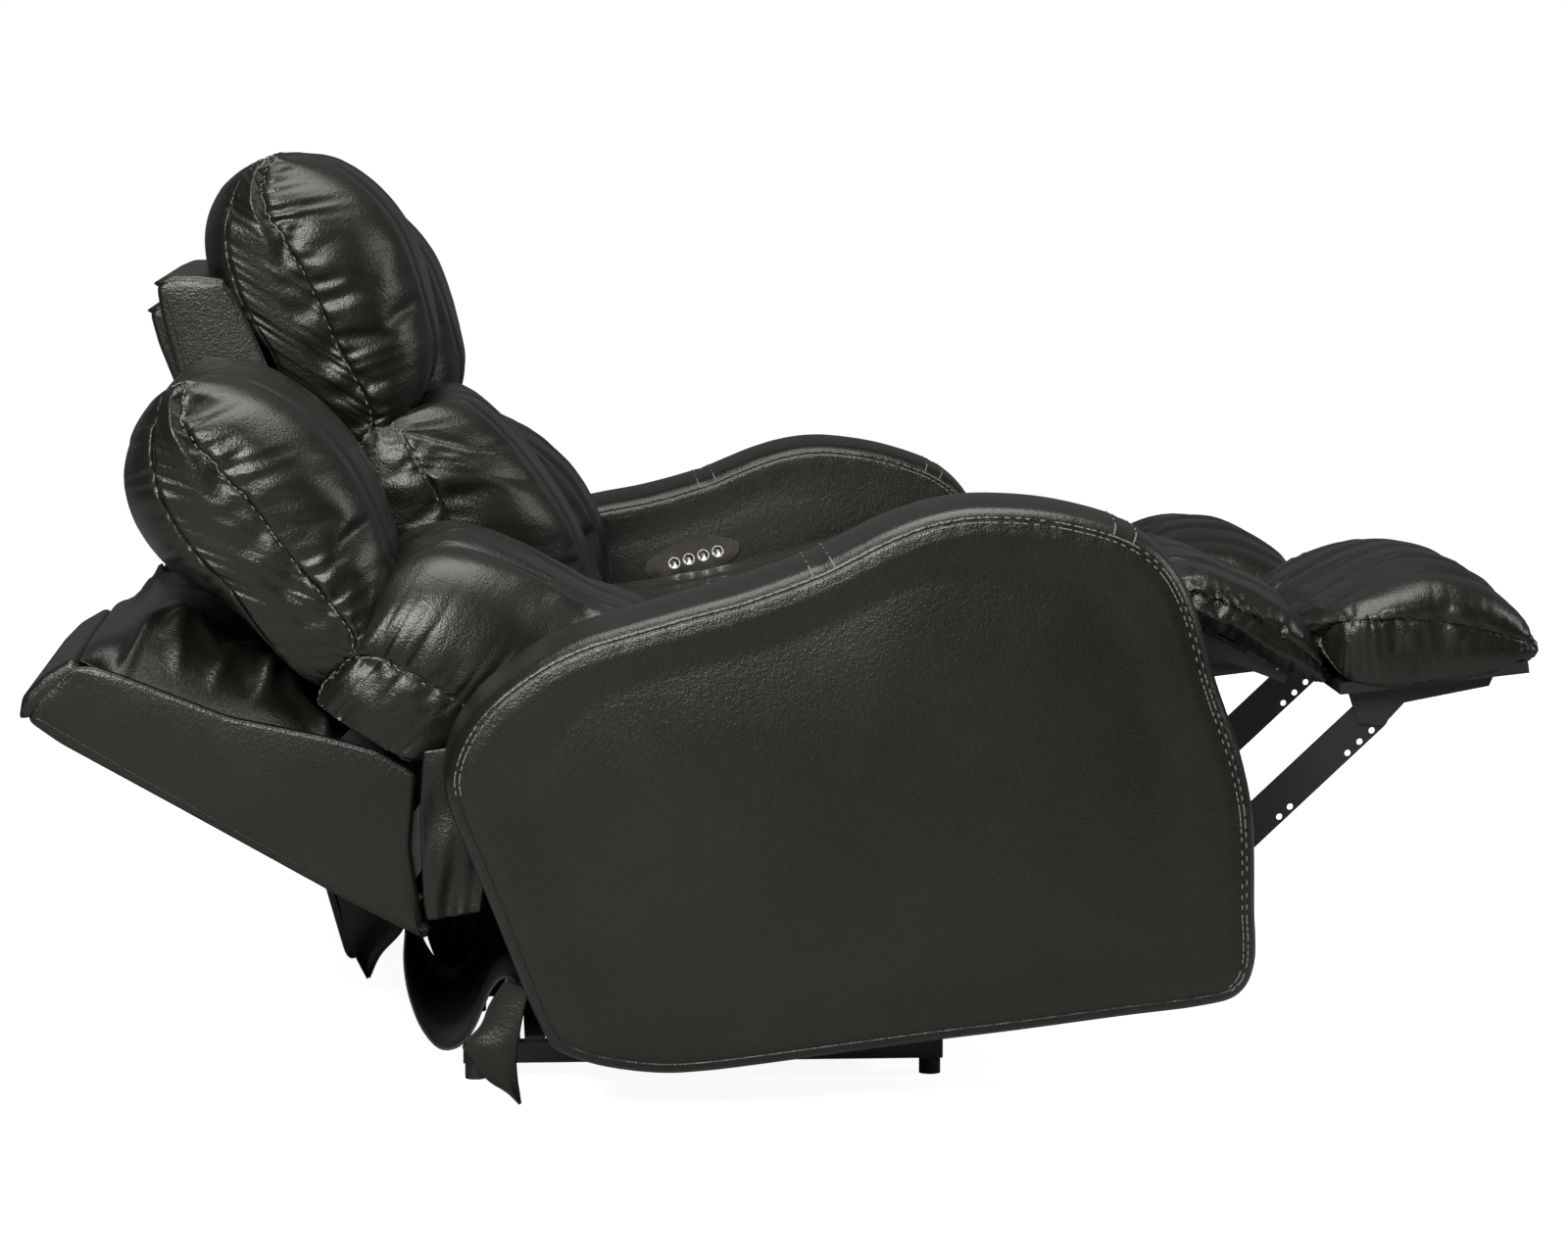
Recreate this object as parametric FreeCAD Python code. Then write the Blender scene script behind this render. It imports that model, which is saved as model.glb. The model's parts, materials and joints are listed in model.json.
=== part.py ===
import FreeCAD, Part
import os
from math import atan, cos, degrees, hypot, radians, sin

# Three-seat power reclining sofa, in millimetres.
# X runs along the width, -Y is the front, +Z is up and Z = 0 is the floor.
# Side-view points are written (u, v): u is the distance forwards and v the height.
# They are given with the seat lowered, the back upright and the footrest out.

# Overall layout
SEAT_PITCH = 580.0          # width of one seat place
SEAT_GAP = 4.0              # gap kept free on each side of a seat place
ARM_WIDTH = 200.0
ARM_WALL = 22.0             # padded cover of the arm, on each side of its frame
ARM_ROUND = 14.0            # rounding of the arm's side edges
ARM_BOARD = 15.0            # plywood side panels inside the arm
BOARD = 18.0                # timber boards of the seat box
DECK_SLOPE = 0.085          # rise of the seat deck towards the front
PLATE = 4.0                 # pressed steel plates
LINK = 5.0                  # steel links
LAYER_GAP = 1.0             # side clearance between neighbouring plates
PIN_R = 5.0
PIN_FIT = 0.05              # radial running clearance of the pins
TUBE_R = 9.0                # round cross tubes
RAIL = 25.0                 # square section of the base rails
FOOT_H = 20.0
FOOT_R = 13.0
COVER = 8.0                 # padded side panel of the back shell
CLEAR = 0.3                 # gap between pieces that only rest against each other
CLOTH = 3.0
TIE = 5.0                   # flat tie bars
BOX_TALL = 150.0            # side boards of the seat box

# Pivots
BASE_PIVOT = (295.0, 76.0)      # base bracket to swing link
SEAT_PIVOT = (200.0, 150.0)     # swing link to seat
BACK_PIVOT = (174.0, 463.0)     # seat to back
HEAD_PIVOT = (-119.0, 643.0)    # back to headrest
LEG_PIVOT = (670.0, 330.0)      # seat to rear footrest link
KNEE_PIVOT = (880.0, 192.0)     # rear link to front link
PAD_PIVOT = (1052.0, 331.0)     # front link to footrest pad
MID_PIVOT = (778.0, 462.0)      # seat to middle pad

# Travels in degrees, counted from the lowered, upright and extended state
LIFT = 43.0                 # swing link, forwards
TILT = 47.2                 # seat against the swing link
RECLINE = 41.2
HEAD_TILT = 33.4
LEG_FOLD = 65.0
KNEE_FOLD = 74.3
PAD_FOLD = 97.3
MID_FOLD = 80.0
REST_RECLINE = 6.2          # how far the lowered recliner's back already leans at rest
REST_HEAD = 16.0            # and how far its headrest is tipped forward

# Control plate on the inside of each arm
CONTROL_AT = (365.0, 467.0)
CONTROL_TILT = 15.0
CONTROL_LENGTH = 150.0
CONTROL_HEIGHT = 56.0
CONTROL_THICK = 6.0
BUTTON_R = 9.0
SMALL_BUTTON_R = 5.0
BUTTON_PITCH = 23.0
BUTTON_RISE = 3.0           # how far a button stands out of the plate
BUTTON_STROKE = 2.0
BUTTON_FIT = 0.2
RIM = 5.0                   # raised rim round the plate
RIM_STEP = 1.5
LAMP_R = 4.0


def at(x, u, v):
    return FreeCAD.Vector(x, -u, v)


def wire(x, start, steps):
    """Side-view path: a step is an end point, or (point on an arc, end point)."""
    edges, here = [], start
    for step in steps:
        if isinstance(step[0], tuple):
            via, end = step
            edges.append(Part.Arc(at(x, *here), at(x, *via), at(x, *end)).toShape())
        else:
            end = step
            edges.append(Part.LineSegment(at(x, *here), at(x, *end)).toShape())
        here = end
    return Part.Wire(edges)


def slab(x0, x1, start, steps):
    """Side-view outline made as thick as x0 to x1."""
    return Part.Face(wire(x0, start, steps)).extrude(FreeCAD.Vector(x1 - x0, 0, 0))


def poly(x0, x1, points):
    return slab(x0, x1, points[0], points[1:] + points[:1])


def block(x0, x1, u0, u1, v0, v1):
    return Part.makeBox(x1 - x0, u1 - u0, v1 - v0, at(x0, u1, v0))


def rod(x0, x1, centre, radius):
    return Part.makeCylinder(radius, x1 - x0, at(x0, *centre), FreeCAD.Vector(1, 0, 0))


def bar(x0, x1, p, q, radius):
    """Flat link with round ends about two pivots."""
    length = hypot(q[0] - p[0], q[1] - p[1])
    a, b = (q[0] - p[0]) / length, (q[1] - p[1]) / length
    n = (-b * radius, a * radius)
    out = (a * radius, b * radius)
    p_left, p_right = (p[0] + n[0], p[1] + n[1]), (p[0] - n[0], p[1] - n[1])
    q_left, q_right = (q[0] + n[0], q[1] + n[1]), (q[0] - n[0], q[1] - n[1])
    return slab(x0, x1, p_left, [q_left, ((q[0] + out[0], q[1] + out[1]), q_right), p_right,
                                 ((p[0] - out[0], p[1] - out[1]), p_left)])


def pair(make, inner, outer):
    """The same plate on both sides of a seat, inner to outer from its middle."""
    return [make(inner, outer), make(-outer, -inner)]


def section(base, crown, half, lobes, dip, edge, inset):
    """Closed cross-section of a cushion, square to the side view, from base to crown."""
    tall = hypot(crown[0] - base[0], crown[1] - base[1])
    a, b = (crown[0] - base[0]) / tall, (crown[1] - base[1]) / tall
    side, top = edge * tall, half - inset

    def point(x, n):
        return at(x, base[0] + a * n, base[1] + b * n)

    def height(x):
        return side + (tall - side) * (1 - abs(x / top) ** 3)

    edges = [Part.LineSegment(point(-half + inset, 0), point(half - inset, 0)).toShape(),
             Part.Arc(point(half - inset, 0), point(half, side * 0.5), point(top, side)).toShape()]
    for i in range(lobes):
        x0, x1 = top - 2 * top * i / lobes, top - 2 * top * (i + 1) / lobes
        low0 = height(x0) - (dip if i > 0 else 0)
        low1 = height(x1) - (dip if i < lobes - 1 else 0)
        middle = (x0 + x1) / 2
        edges.append(Part.Arc(point(x0, low0), point(middle, height(middle)), point(x1, low1)).toShape())
    edges.append(Part.Arc(point(-top, side), point(-half, side * 0.5), point(-half + inset, 0)).toShape())
    return Part.Wire(edges)


def cushion(stations, lobes=1, dip=0.0, edge=0.5, inset=12.0):
    """Crowned cushion: a smooth loft through cross-sections (base, crown, half width)."""
    tallest = max(hypot(c[0] - b[0], c[1] - b[1]) for b, c, half in stations)
    wires = []
    for base, crown, half in stations:
        share = hypot(crown[0] - base[0], crown[1] - base[1]) / tallest
        wires.append(section(base, crown, half, lobes, dip * share, edge, inset * share + 2.0))
    return Part.makeLoft(wires, True, False)


def turned(shape, pivot, degrees):
    """Turned about a pivot, positive from the front upwards and back."""
    copy = shape.copy()
    copy.rotate(at(0, *pivot), FreeCAD.Vector(-1, 0, 0), degrees)
    return copy


def posed(shape, moves):
    for pivot, degrees in moves:
        shape = turned(shape, pivot, degrees)
    return shape


def posed_point(point, moves):
    u, v = point
    for pivot, degrees in moves:
        a, b = u - pivot[0], v - pivot[1]
        c, s = cos(radians(degrees)), sin(radians(degrees))
        u, v = pivot[0] + a * c - b * s, pivot[1] + a * s + b * c
    return u, v


def shifted(shape, x):
    copy = shape.copy()
    copy.translate(FreeCAD.Vector(x, 0, 0))
    return copy


def group(shapes):
    return shapes[0] if len(shapes) == 1 else Part.makeCompound(shapes)


# Side layers of the mechanism, from the middle of a seat outwards
HALF = SEAT_PITCH / 2 - SEAT_GAP
BRACKET_X = 214.0
SWING_X = BRACKET_X + PLATE + LAYER_GAP
SIDE_X = SWING_X + LINK + LAYER_GAP
LEG_X = SIDE_X + PLATE + LAYER_GAP
KNEE_X = LEG_X + LINK + LAYER_GAP
PAD_X = KNEE_X + LINK + LAYER_GAP
SIDE_BOARD_X = HALF - BOARD
EAR_X = SIDE_BOARD_X - PLATE
HINGE_X = EAR_X + PLATE + LAYER_GAP
NARROW = EAR_X - 2.0        # half width of soft parts beside the back hinge
DECK_REAR, DECK_FRONT = 60.0, 660.0
DECK_LOW = 308.0


def deck(u):
    """Height of the top of the seat box."""
    return DECK_LOW + DECK_SLOPE * (u - DECK_REAR)


# Arm outline, rear bottom corner first
ARM_START = (31, 64)
ARM_STEPS = [((55, 38), (98, 24)), ((150, 12), (215, 10)), (806, 44), ((846, 66), (858, 115)),
             ((865, 240), (838, 430)), ((815, 500), (773, 570)), ((745, 592), (684, 608)),
             ((574, 637), (460, 620)), ((385, 588), (298, 566)), ((160, 536), (26, 497)),
             ((-40, 448), (-62, 380)), (31, 64)]
ARM_CENTRE = (400.0, 320.0)
ARM_AT = SEAT_PITCH * 1.5   # inner face of an arm, from the middle of the sofa


def arm_outline(x, scale):
    shape = wire(x, ARM_START, ARM_STEPS)
    shape.scale(scale, at(x, *ARM_CENTRE))
    return shape


ARM_SPAN = 927.0            # rear to front of the arm, for the insets below
ARM_FRAME_SCALE = 1 - 2 * 32.0 / ARM_SPAN
ARM_HOLE_SCALE = 0.62


def make_arm():
    """Padded arm cover, hollow round its plywood frame; x runs from the inner face outwards."""
    rounds = [(0.0, 1.0), (0.3, 0.45), (1.0, 0.0)]
    sections = [arm_outline(t * ARM_ROUND, 1 - 2 * inset * ARM_ROUND / ARM_SPAN) for t, inset in rounds]
    sections += [arm_outline(ARM_WIDTH - t * ARM_ROUND, 1 - 2 * inset * ARM_ROUND / ARM_SPAN)
                 for t, inset in reversed(rounds)]
    outside = Part.makeLoft(sections, True, True)
    hollow = Part.Face(arm_outline(ARM_WALL, ARM_FRAME_SCALE))
    return outside.cut(hollow.extrude(FreeCAD.Vector(ARM_WIDTH - 2 * ARM_WALL, 0, 0)))


def make_arm_frame():
    """Two cut-out plywood side panels and the blocks that join them."""
    panels = []
    inside = 1 - 2 * (32.0 + CLEAR) / ARM_SPAN
    for x in (ARM_WALL, ARM_WIDTH - ARM_WALL - ARM_BOARD):
        panel = Part.Face(arm_outline(x, inside)).extrude(FreeCAD.Vector(ARM_BOARD, 0, 0))
        hole = Part.Face(arm_outline(x, ARM_HOLE_SCALE)).extrude(FreeCAD.Vector(ARM_BOARD, 0, 0))
        panels.append(panel.cut(hole))
    x0, x1 = ARM_WALL + ARM_BOARD, ARM_WIDTH - ARM_WALL - ARM_BOARD
    blocks = [block(x0, x1, 60, 110, 90, 130), block(x0, x1, 740, 790, 90, 130),
              block(x0, x1, 70, 120, 440, 480), block(x0, x1, 700, 750, 500, 540)]
    return group(panels + blocks)


def make_seat_box(arm_side):
    """Four boards of the seat box, and the steel plates that carry an arm on one side."""
    side = [(DECK_REAR, deck(DECK_REAR) - BOX_TALL), (DECK_FRONT, deck(DECK_FRONT) - BOX_TALL),
            (DECK_FRONT, deck(DECK_FRONT)), (DECK_REAR, deck(DECK_REAR))]
    boards = pair(lambda a, b: poly(a, b, side), SIDE_BOARD_X, HALF)
    for u0, u1 in ((DECK_REAR, DECK_REAR + BOARD), (DECK_FRONT - BOARD, DECK_FRONT)):
        rail = [(u0, deck(u0) - 90), (u1, deck(u1) - 90), (u1, deck(u1)), (u0, deck(u0))]
        boards.append(poly(-SIDE_BOARD_X, SIDE_BOARD_X, rail))
    if arm_side:
        notches = pair(lambda a, b: block(a, b, DECK_FRONT - BOARD, DECK_FRONT, deck(DECK_FRONT) - 100,
                                          deck(DECK_FRONT) - 9), SIDE_X - CLEAR, LEG_X + LINK + 3)
        for notch in notches:
            boards[-1] = boards[-1].cut(notch)
        near, far = sorted((arm_side * HALF, arm_side * SEAT_PITCH / 2))
        boards += [block(near, far, u, u + 120, 215, 295) for u in (120, 500)]
    return group(boards)


SPRING_WIRE = 3.8
SPRING_COUNT = 5
SPRING_LOOPS = 22
SPRING_HALF = 17.0


def make_springs():
    """Sinuous springs: zigzag wires of half-round bends, from the rear rail to the front rail."""
    u0, u1 = DECK_REAR + BOARD / 2, DECK_FRONT - BOARD / 2
    pitch = (u1 - u0) / SPRING_LOOPS
    springs = []
    for i in range(SPRING_COUNT):
        x = (i - (SPRING_COUNT - 1) / 2) * 2 * HALF / SPRING_COUNT
        edges, here = [], FreeCAD.Vector(x, 0, 0)
        edges.append(Part.LineSegment(here, FreeCAD.Vector(x - SPRING_HALF, 0, 0)).toShape())
        for k in range(SPRING_LOOPS):
            side = -1 if k % 2 == 0 else 1
            start = FreeCAD.Vector(x + side * SPRING_HALF, -k * pitch, 0)
            end = FreeCAD.Vector(start.x, start.y - pitch, 0)
            via = FreeCAD.Vector(start.x + side * pitch / 2, start.y - pitch / 2, 0)
            edges.append(Part.Arc(start, via, end).toShape())
            if k < SPRING_LOOPS - 1:
                across = FreeCAD.Vector(x - side * SPRING_HALF, end.y, 0)
                edges.append(Part.LineSegment(end, across).toShape())
            else:
                edges.append(Part.LineSegment(end, FreeCAD.Vector(x, end.y, 0)).toShape())
        path = Part.Wire(edges)
        ring = Part.Wire(Part.makeCircle(SPRING_WIRE / 2, here, FreeCAD.Vector(1, 0, 0)))
        spring = path.makePipeShell([ring], True, False)
        spring.rotate(FreeCAD.Vector(0, 0, 0), FreeCAD.Vector(-1, 0, 0), degrees(atan(DECK_SLOPE)))
        spring.translate(at(0, u0, deck(u0) + SPRING_WIRE / 2 + 0.1))
        springs.append(spring)
    return group(springs)


def make_seat_cushion():
    base = [(u, deck(u) + SPRING_WIRE + 0.5) for u in (110, 150, 230, 300, 400, 520, 620, 670)]
    crown = [(110, 393), (150, 416), (230, 434), (300, 462), (400, 486), (520, 508), (630, 530), (690, 543)]
    half = [244, 256, NARROW, 276, HALF - 4, HALF - 4, HALF - 4, HALF - 4]
    nose = [((712, 374), (730, 551), HALF - 8), ((733, 396), (762, 551), 270), ((740, 436), (784, 541), 254)]
    return cushion(list(zip(base, crown, half)) + nose, lobes=3, dip=4, edge=0.74, inset=14)


CROSS_TUBES = (165.0, 600.0)    # rear edges of the cross tubes
CROSS_LOW = 262.0


def make_side_plates():
    """Pressed steel side plates of the seat, their cross tubes and pins, and the back's hinge ears."""
    outline = [(150, 130), (240, 125), (660, 240), (738, 300), (770, 400), (788, 452), (789, 470), (767, 470),
               (745, 366), (700, 345), (150, 300)]
    solids = []
    for plate, side in zip(pair(lambda a, b: poly(a, b, outline), SIDE_X, SIDE_X + PLATE), (1, -1)):
        plate = plate.cut(rod(-HALF, HALF, SEAT_PIVOT, PIN_R + PIN_FIT))
        for pivot, reach in ((LEG_PIVOT, LINK), (MID_PIVOT, LINK)):
            far = side * (SIDE_X + PLATE + LAYER_GAP + reach + 2)
            near = side * (SIDE_X + 1)
            plate = plate.fuse(rod(min(near, far), max(near, far), pivot, PIN_R))
        solids.append(plate)
    for u in CROSS_TUBES:
        solids.append(block(-SIDE_X, SIDE_X, u, u + RAIL, CROSS_LOW, CROSS_LOW + RAIL))
    frame = solids[0]
    for piece in solids[1:]:
        frame = frame.fuse(piece)
    ears = pair(lambda a, b: poly(a, b, [(140, 240), (208, 240), (196, 463), (186, 480), (162, 480), (152, 463)]),
                EAR_X, EAR_X + PLATE)
    pins = pair(lambda a, b: rod(a, b, BACK_PIVOT, PIN_R), EAR_X + 1, HINGE_X + PLATE + 2)
    ears = [ear.fuse(pin) for ear, pin in zip(ears, pins)]
    return group([frame] + ears)


def make_swing_links():
    """Two swing links on a torsion tube."""
    links = pair(lambda a, b: bar(a, b, BASE_PIVOT, SEAT_PIVOT, 16), SWING_X, SWING_X + LINK)
    middle = ((BASE_PIVOT[0] + SEAT_PIVOT[0]) / 2, (BASE_PIVOT[1] + SEAT_PIVOT[1]) / 2)
    pins = pair(lambda a, b: rod(a, b, SEAT_PIVOT, PIN_R), SWING_X + 1, SIDE_X + PLATE + 2)
    body = rod(-SWING_X - 1, SWING_X + 1, middle, TUBE_R)
    for link, pin in zip(links, pins):
        body = body.fuse(link.cut(rod(-HALF, HALF, BASE_PIVOT, PIN_R + PIN_FIT)).fuse(pin))
    return body


def make_actuators():
    """Two linear actuators between the cross tubes: motor, gearbox and screw tube."""
    solids = []
    rear, middle = CROSS_TUBES[0] + RAIL, CROSS_LOW + RAIL / 2
    for x, motor in ((-70, 1), (70, -1)):
        tube = Part.makeCylinder(17, CROSS_TUBES[1] - rear, at(x, rear, middle), FreeCAD.Vector(0, -1, 0))
        gearbox = block(x - 24, x + 24, rear, rear + 75, middle - 26, middle + 26)
        drum = Part.makeCylinder(20, 34, at(x + motor * 24, rear + 38, middle), FreeCAD.Vector(motor, 0, 0))
        solids.append(tube.fuse(gearbox).fuse(drum))
    return group(solids)


SHELL_TOP = (-374, 937)
SHELL_LOW = (-232, 412)
SHELL_STEPS = [SHELL_LOW, (-104, 560), ((-116, 615), (-155, 675)), ((-206, 765), (-238, 825)),
               (-280, 912), ((-294, 938), (-318, 946)), ((-350, 950), SHELL_TOP)]
SHELL_WALL = 18.0           # rear panel


def shell_inside(v):
    """Inner face of the shell's rear panel at a height."""
    lean = (SHELL_TOP[0] - SHELL_LOW[0]) / (SHELL_TOP[1] - SHELL_LOW[1])
    return SHELL_LOW[0] + (v - SHELL_LOW[1]) * lean + SHELL_WALL


LINER = [(-178, 668), (-208, 740), (-230, 800), (-250, 852), (-296, 880), (-330, 926)]
SKIRT_LOW = 45.0            # lower edge of the middle seat's rear and front panels


def make_back_shell(skirt):
    """Leather-covered rear shell of a back: rear panel, sides, top and a liner behind the pillow."""
    shell = slab(-HALF, HALF, SHELL_TOP, SHELL_STEPS)
    hollow = [(shell_inside(918), 918), (shell_inside(380), 380), (0, 380), (0, 700), (-120, 860), (-250, 918)]
    shell = shell.cut(poly(-HALF + COVER, HALF - COVER, hollow))
    liner = LINER + [(u - COVER, v) for u, v in reversed(LINER)]
    shell = shell.fuse(poly(-HALF + COVER, HALF - COVER, liner))
    if skirt:
        join = SHELL_LOW[1] + 6
        rear = [(shell_inside(v) - SHELL_WALL, v) for v in (join, SKIRT_LOW)]
        front = [(shell_inside(v), v) for v in (SKIRT_LOW, join)]
        shell = shell.fuse(poly(-HALF, HALF, rear + front))
    return shell


def make_front_panel():
    """Leather-covered board in front of the middle seat box."""
    top = deck(DECK_FRONT)
    return slab(-HALF, HALF, (DECK_FRONT, SKIRT_LOW), [((DECK_FRONT + 24, SKIRT_LOW + 4), (DECK_FRONT + 28, 110)),
                ((DECK_FRONT + 34, 240), (DECK_FRONT + 30, top)), (DECK_FRONT, top), (DECK_FRONT, SKIRT_LOW)])


LUMBAR_TUBE = (-108.0, 618.0)
HEAD_ARM_X = 150.0


def back_frame_x():
    """Inner and outer face of the back frame's uprights."""
    return HINGE_X + PLATE - RAIL, HINGE_X + PLATE


def make_back_frame(arm):
    """Steel back frame: uprights, cross tubes, lugs for the headrest and side arms to the seat."""
    x0, x1 = back_frame_x()
    spine = [(shell_inside(450) + CLEAR, 450), (shell_inside(455) + 24, 455), (shell_inside(900) + 24, 900),
             (shell_inside(900) + CLEAR, 900)]
    lug = [(shell_inside(600) + 12, 600), (-118, 602), (-100, 612), (-104, 640), (-112, 654), (-126, 655),
           (shell_inside(650) + 12, 650)]
    solids = pair(lambda a, b: poly(a, b, spine), x0, x1)
    solids += pair(lambda a, b: poly(a, b, arm), HINGE_X, x1)
    solids += pair(lambda a, b: poly(a, b, lug), x0, x0 + PLATE)
    for v in (860, 490):
        u = shell_inside(v) + 12
        solids.append(block(-x1, x1, u - 10, u + 10, v, v + RAIL))
    solids.append(rod(-x0 - PLATE, x0 + PLATE, LUMBAR_TUBE, TUBE_R))
    frame = solids[0]
    for piece in solids[1:]:
        frame = frame.fuse(piece)
    return frame.cut(rod(-HALF, HALF, HEAD_PIVOT, PIN_R + PIN_FIT))


def make_hinged_back_frame():
    arm = [(-222, 470), (-60, 500), (170, 447), (190, 456), (188, 475), (170, 480), (-60, 545), (-214, 520)]
    return make_back_frame(arm).cut(rod(-HALF, HALF, BACK_PIVOT, PIN_R + PIN_FIT))


def make_fixed_back_frame():
    """The middle seat's frame stands on its seat box and holds a fixed headrest."""
    arm = [(-222, 460), (-40, 430), (DECK_REAR, deck(DECK_REAR)), (140, deck(140)), (140, 350), (-20, 520),
           (-214, 520)]
    return make_back_frame(arm).fuse(make_head_bracket())


def make_head_bracket():
    """Headrest bracket: a cross shaft on the back's lugs, two arms and the pillow plate."""
    reach = back_frame_x()[0] + PLATE
    arm = [(-130, 636), (-108, 636), (-112, 700), (-140, 780), (-158, 776), (-134, 700)]
    body = rod(-reach, reach, HEAD_PIVOT, PIN_R)
    for piece in pair(lambda a, b: poly(a, b, arm), HEAD_ARM_X, HEAD_ARM_X + PLATE):
        body = body.fuse(piece)
    plate = [(-158, 776), (-140, 780), (-176, 960), (-182, 960)]
    return body.fuse(poly(-HEAD_ARM_X - PLATE, HEAD_ARM_X + PLATE, plate))


def make_head_pillow():
    stations = [((-165, 712), (-142, 724), 232), ((-190, 748), (-88, 757), 262), ((-214, 802), (-54, 801), 274),
                ((-236, 858), (-28, 862), 280), ((-256, 908), (-22, 906), HALF - 2), ((-302, 962), (-32, 955), HALF),
                ((-312, 1006), (-58, 1000), HALF), ((-294, 1044), (-94, 1043), 278),
                ((-262, 1073), (-136, 1077), 264), ((-228, 1090), (-174, 1094), 238)]
    return cushion(stations, lobes=3, dip=9, edge=0.42, inset=10).cut(make_head_bracket())


def make_lumbar(full):
    """Lower back bolster; the fixed one is full to the top, where no headrest swings."""
    top = [((-58, 700), (58, 731), 252), ((-72, 686), (98, 712), 270)]
    if full:
        top = [((-34, 758), (24, 775), 250), ((-62, 736), (62, 751), 268), ((-86, 700), (103, 717), 276)]
    rest = [((-88, 655), (140, 673), HALF - 4), ((-98, 618), (172, 635), HALF - 2),
            ((-92, 583), (192, 585), HALF - 6), ((-58, 556), (211, 540), NARROW), ((14, 522), (227, 495), NARROW),
            ((92, 490), (236, 464), 256), ((150, 470), (234, 450), 242)]
    return cushion(top + rest, lobes=3, dip=9, edge=0.4, inset=10)


def make_leg_links():
    """Rear footrest links, joined by a tube at the knee."""
    links = pair(lambda a, b: bar(a, b, LEG_PIVOT, KNEE_PIVOT, 15), LEG_X, LEG_X + LINK)
    pins = pair(lambda a, b: rod(a, b, KNEE_PIVOT, PIN_R), LEG_X + 1, KNEE_X + LINK + 2)
    body = rod(-LEG_X - 1, LEG_X + 1, KNEE_PIVOT, TUBE_R)
    for link, pin in zip(links, pins):
        body = body.fuse(link.cut(rod(-HALF, HALF, LEG_PIVOT, PIN_R + PIN_FIT)).fuse(pin))
    return body


KNEE_LINK_R = 22.0
LINK_HOLES = (0.25, 0.33, 0.76, 0.85, 0.94)     # places along the link, as shares of its length
LINK_HOLE_OFF = 15.5                            # from the link's middle line towards its lower edge


def make_knee_links():
    """Broad front footrest links with rows of holes beside the lower edge, as separate bars."""
    solids = []
    along = (PAD_PIVOT[0] - KNEE_PIVOT[0], PAD_PIVOT[1] - KNEE_PIVOT[1])
    scale = LINK_HOLE_OFF / hypot(*along)
    aside = (along[1] * scale, -along[0] * scale)
    for link in pair(lambda a, b: bar(a, b, KNEE_PIVOT, PAD_PIVOT, KNEE_LINK_R), KNEE_X, KNEE_X + LINK):
        for pivot in (KNEE_PIVOT, PAD_PIVOT):
            link = link.cut(rod(-HALF, HALF, pivot, PIN_R + PIN_FIT))
        for share in LINK_HOLES:
            hole = (KNEE_PIVOT[0] + along[0] * share + aside[0], KNEE_PIVOT[1] + along[1] * share + aside[1])
            link = link.cut(rod(-HALF, HALF, hole, 4))
        solids.append(link)
    return group(solids)


def make_foot_bracket():
    """Footrest board on two steel channels, with the pivot pins of the front links."""
    body = poly(-HALF + 10, HALF - 10, [(1010, 362), (1240, 370), (1239, 384), (1009, 376)])
    side = [(1034, 322), (1064, 316), (1092, 342), (1196, 354), (1204, 369), (1024, 363)]
    for plate in pair(lambda a, b: poly(a, b, side), PAD_X, PAD_X + PLATE):
        body = body.fuse(plate)
    for pin in pair(lambda a, b: rod(a, b, PAD_PIVOT, PIN_R), KNEE_X - 1, PAD_X + 1):
        body = body.fuse(pin)
    return body


def make_foot_pad():
    stations = [((941, 472), (948, 498), 236), ((966, 436), (976, 514), 264), ((1000, 392), (1014, 528), 278),
                ((1050, 378), (1060, 531), HALF), ((1110, 380), (1120, 520), HALF), ((1160, 382), (1176, 491), HALF),
                ((1205, 384), (1222, 455), 278), ((1236, 386), (1250, 420), 266), ((1246, 390), (1256, 406), 250)]
    return cushion(stations, lobes=5, dip=8, edge=0.48, inset=12).cut(make_foot_bracket())


def make_mid_bracket():
    """Arms that carry the middle pad from its pivots."""
    arm = [(768, 452), (790, 450), (950, 376), (954, 386), (830, 462), (790, 476), (768, 474)]
    arms = pair(lambda a, b: poly(a, b, arm).cut(rod(-HALF, HALF, MID_PIVOT, PIN_R + PIN_FIT)),
                LEG_X, LEG_X + LINK)
    strip = poly(-LEG_X, LEG_X, [(856, 444), (906, 414), (909, 419), (859, 449)])
    return arms[0].fuse(strip).fuse(arms[1])


def make_mid_pad():
    stations = [((792, 482), (805, 530), 240), ((812, 474), (825, 534), 258), ((845, 458), (861, 521), 264),
                ((880, 436), (897, 499), 264), ((915, 412), (934, 474), 250), ((942, 396), (958, 440), 226),
                ((962, 388), (974, 414), 220)]
    return cushion(stations, lobes=3, dip=5, edge=0.5, inset=10).cut(make_mid_bracket())


def make_base(brackets):
    """Base of one seat: two side rails, two cross rails and, for a recliner, pivot brackets and stops."""
    x0, top = BRACKET_X + PLATE / 2 - RAIL / 2, FOOT_H + RAIL
    solids = [block(-x0, x0, u, u + RAIL, FOOT_H, top) for u in (60, 525)]
    solids += pair(lambda a, b: block(a, b, 16, 596, FOOT_H, top), x0, x0 + RAIL)
    if brackets:
        ear = [(235, top), (355, top), (308, 92), (282, 92)]
        ears = pair(lambda a, b: poly(a, b, ear), BRACKET_X, BRACKET_X + PLATE)
        pins = pair(lambda a, b: rod(a, b, BASE_PIVOT, PIN_R), BRACKET_X + 1, SWING_X + LINK + 2)
        solids += [plate.fuse(pin) for plate, pin in zip(ears, pins)]
        solids += pair(lambda a, b: poly(a, b, [(572, top), (596, top), (590, 76), (578, 76)]),
                       BRACKET_X, BRACKET_X + PLATE)
    return solids


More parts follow.
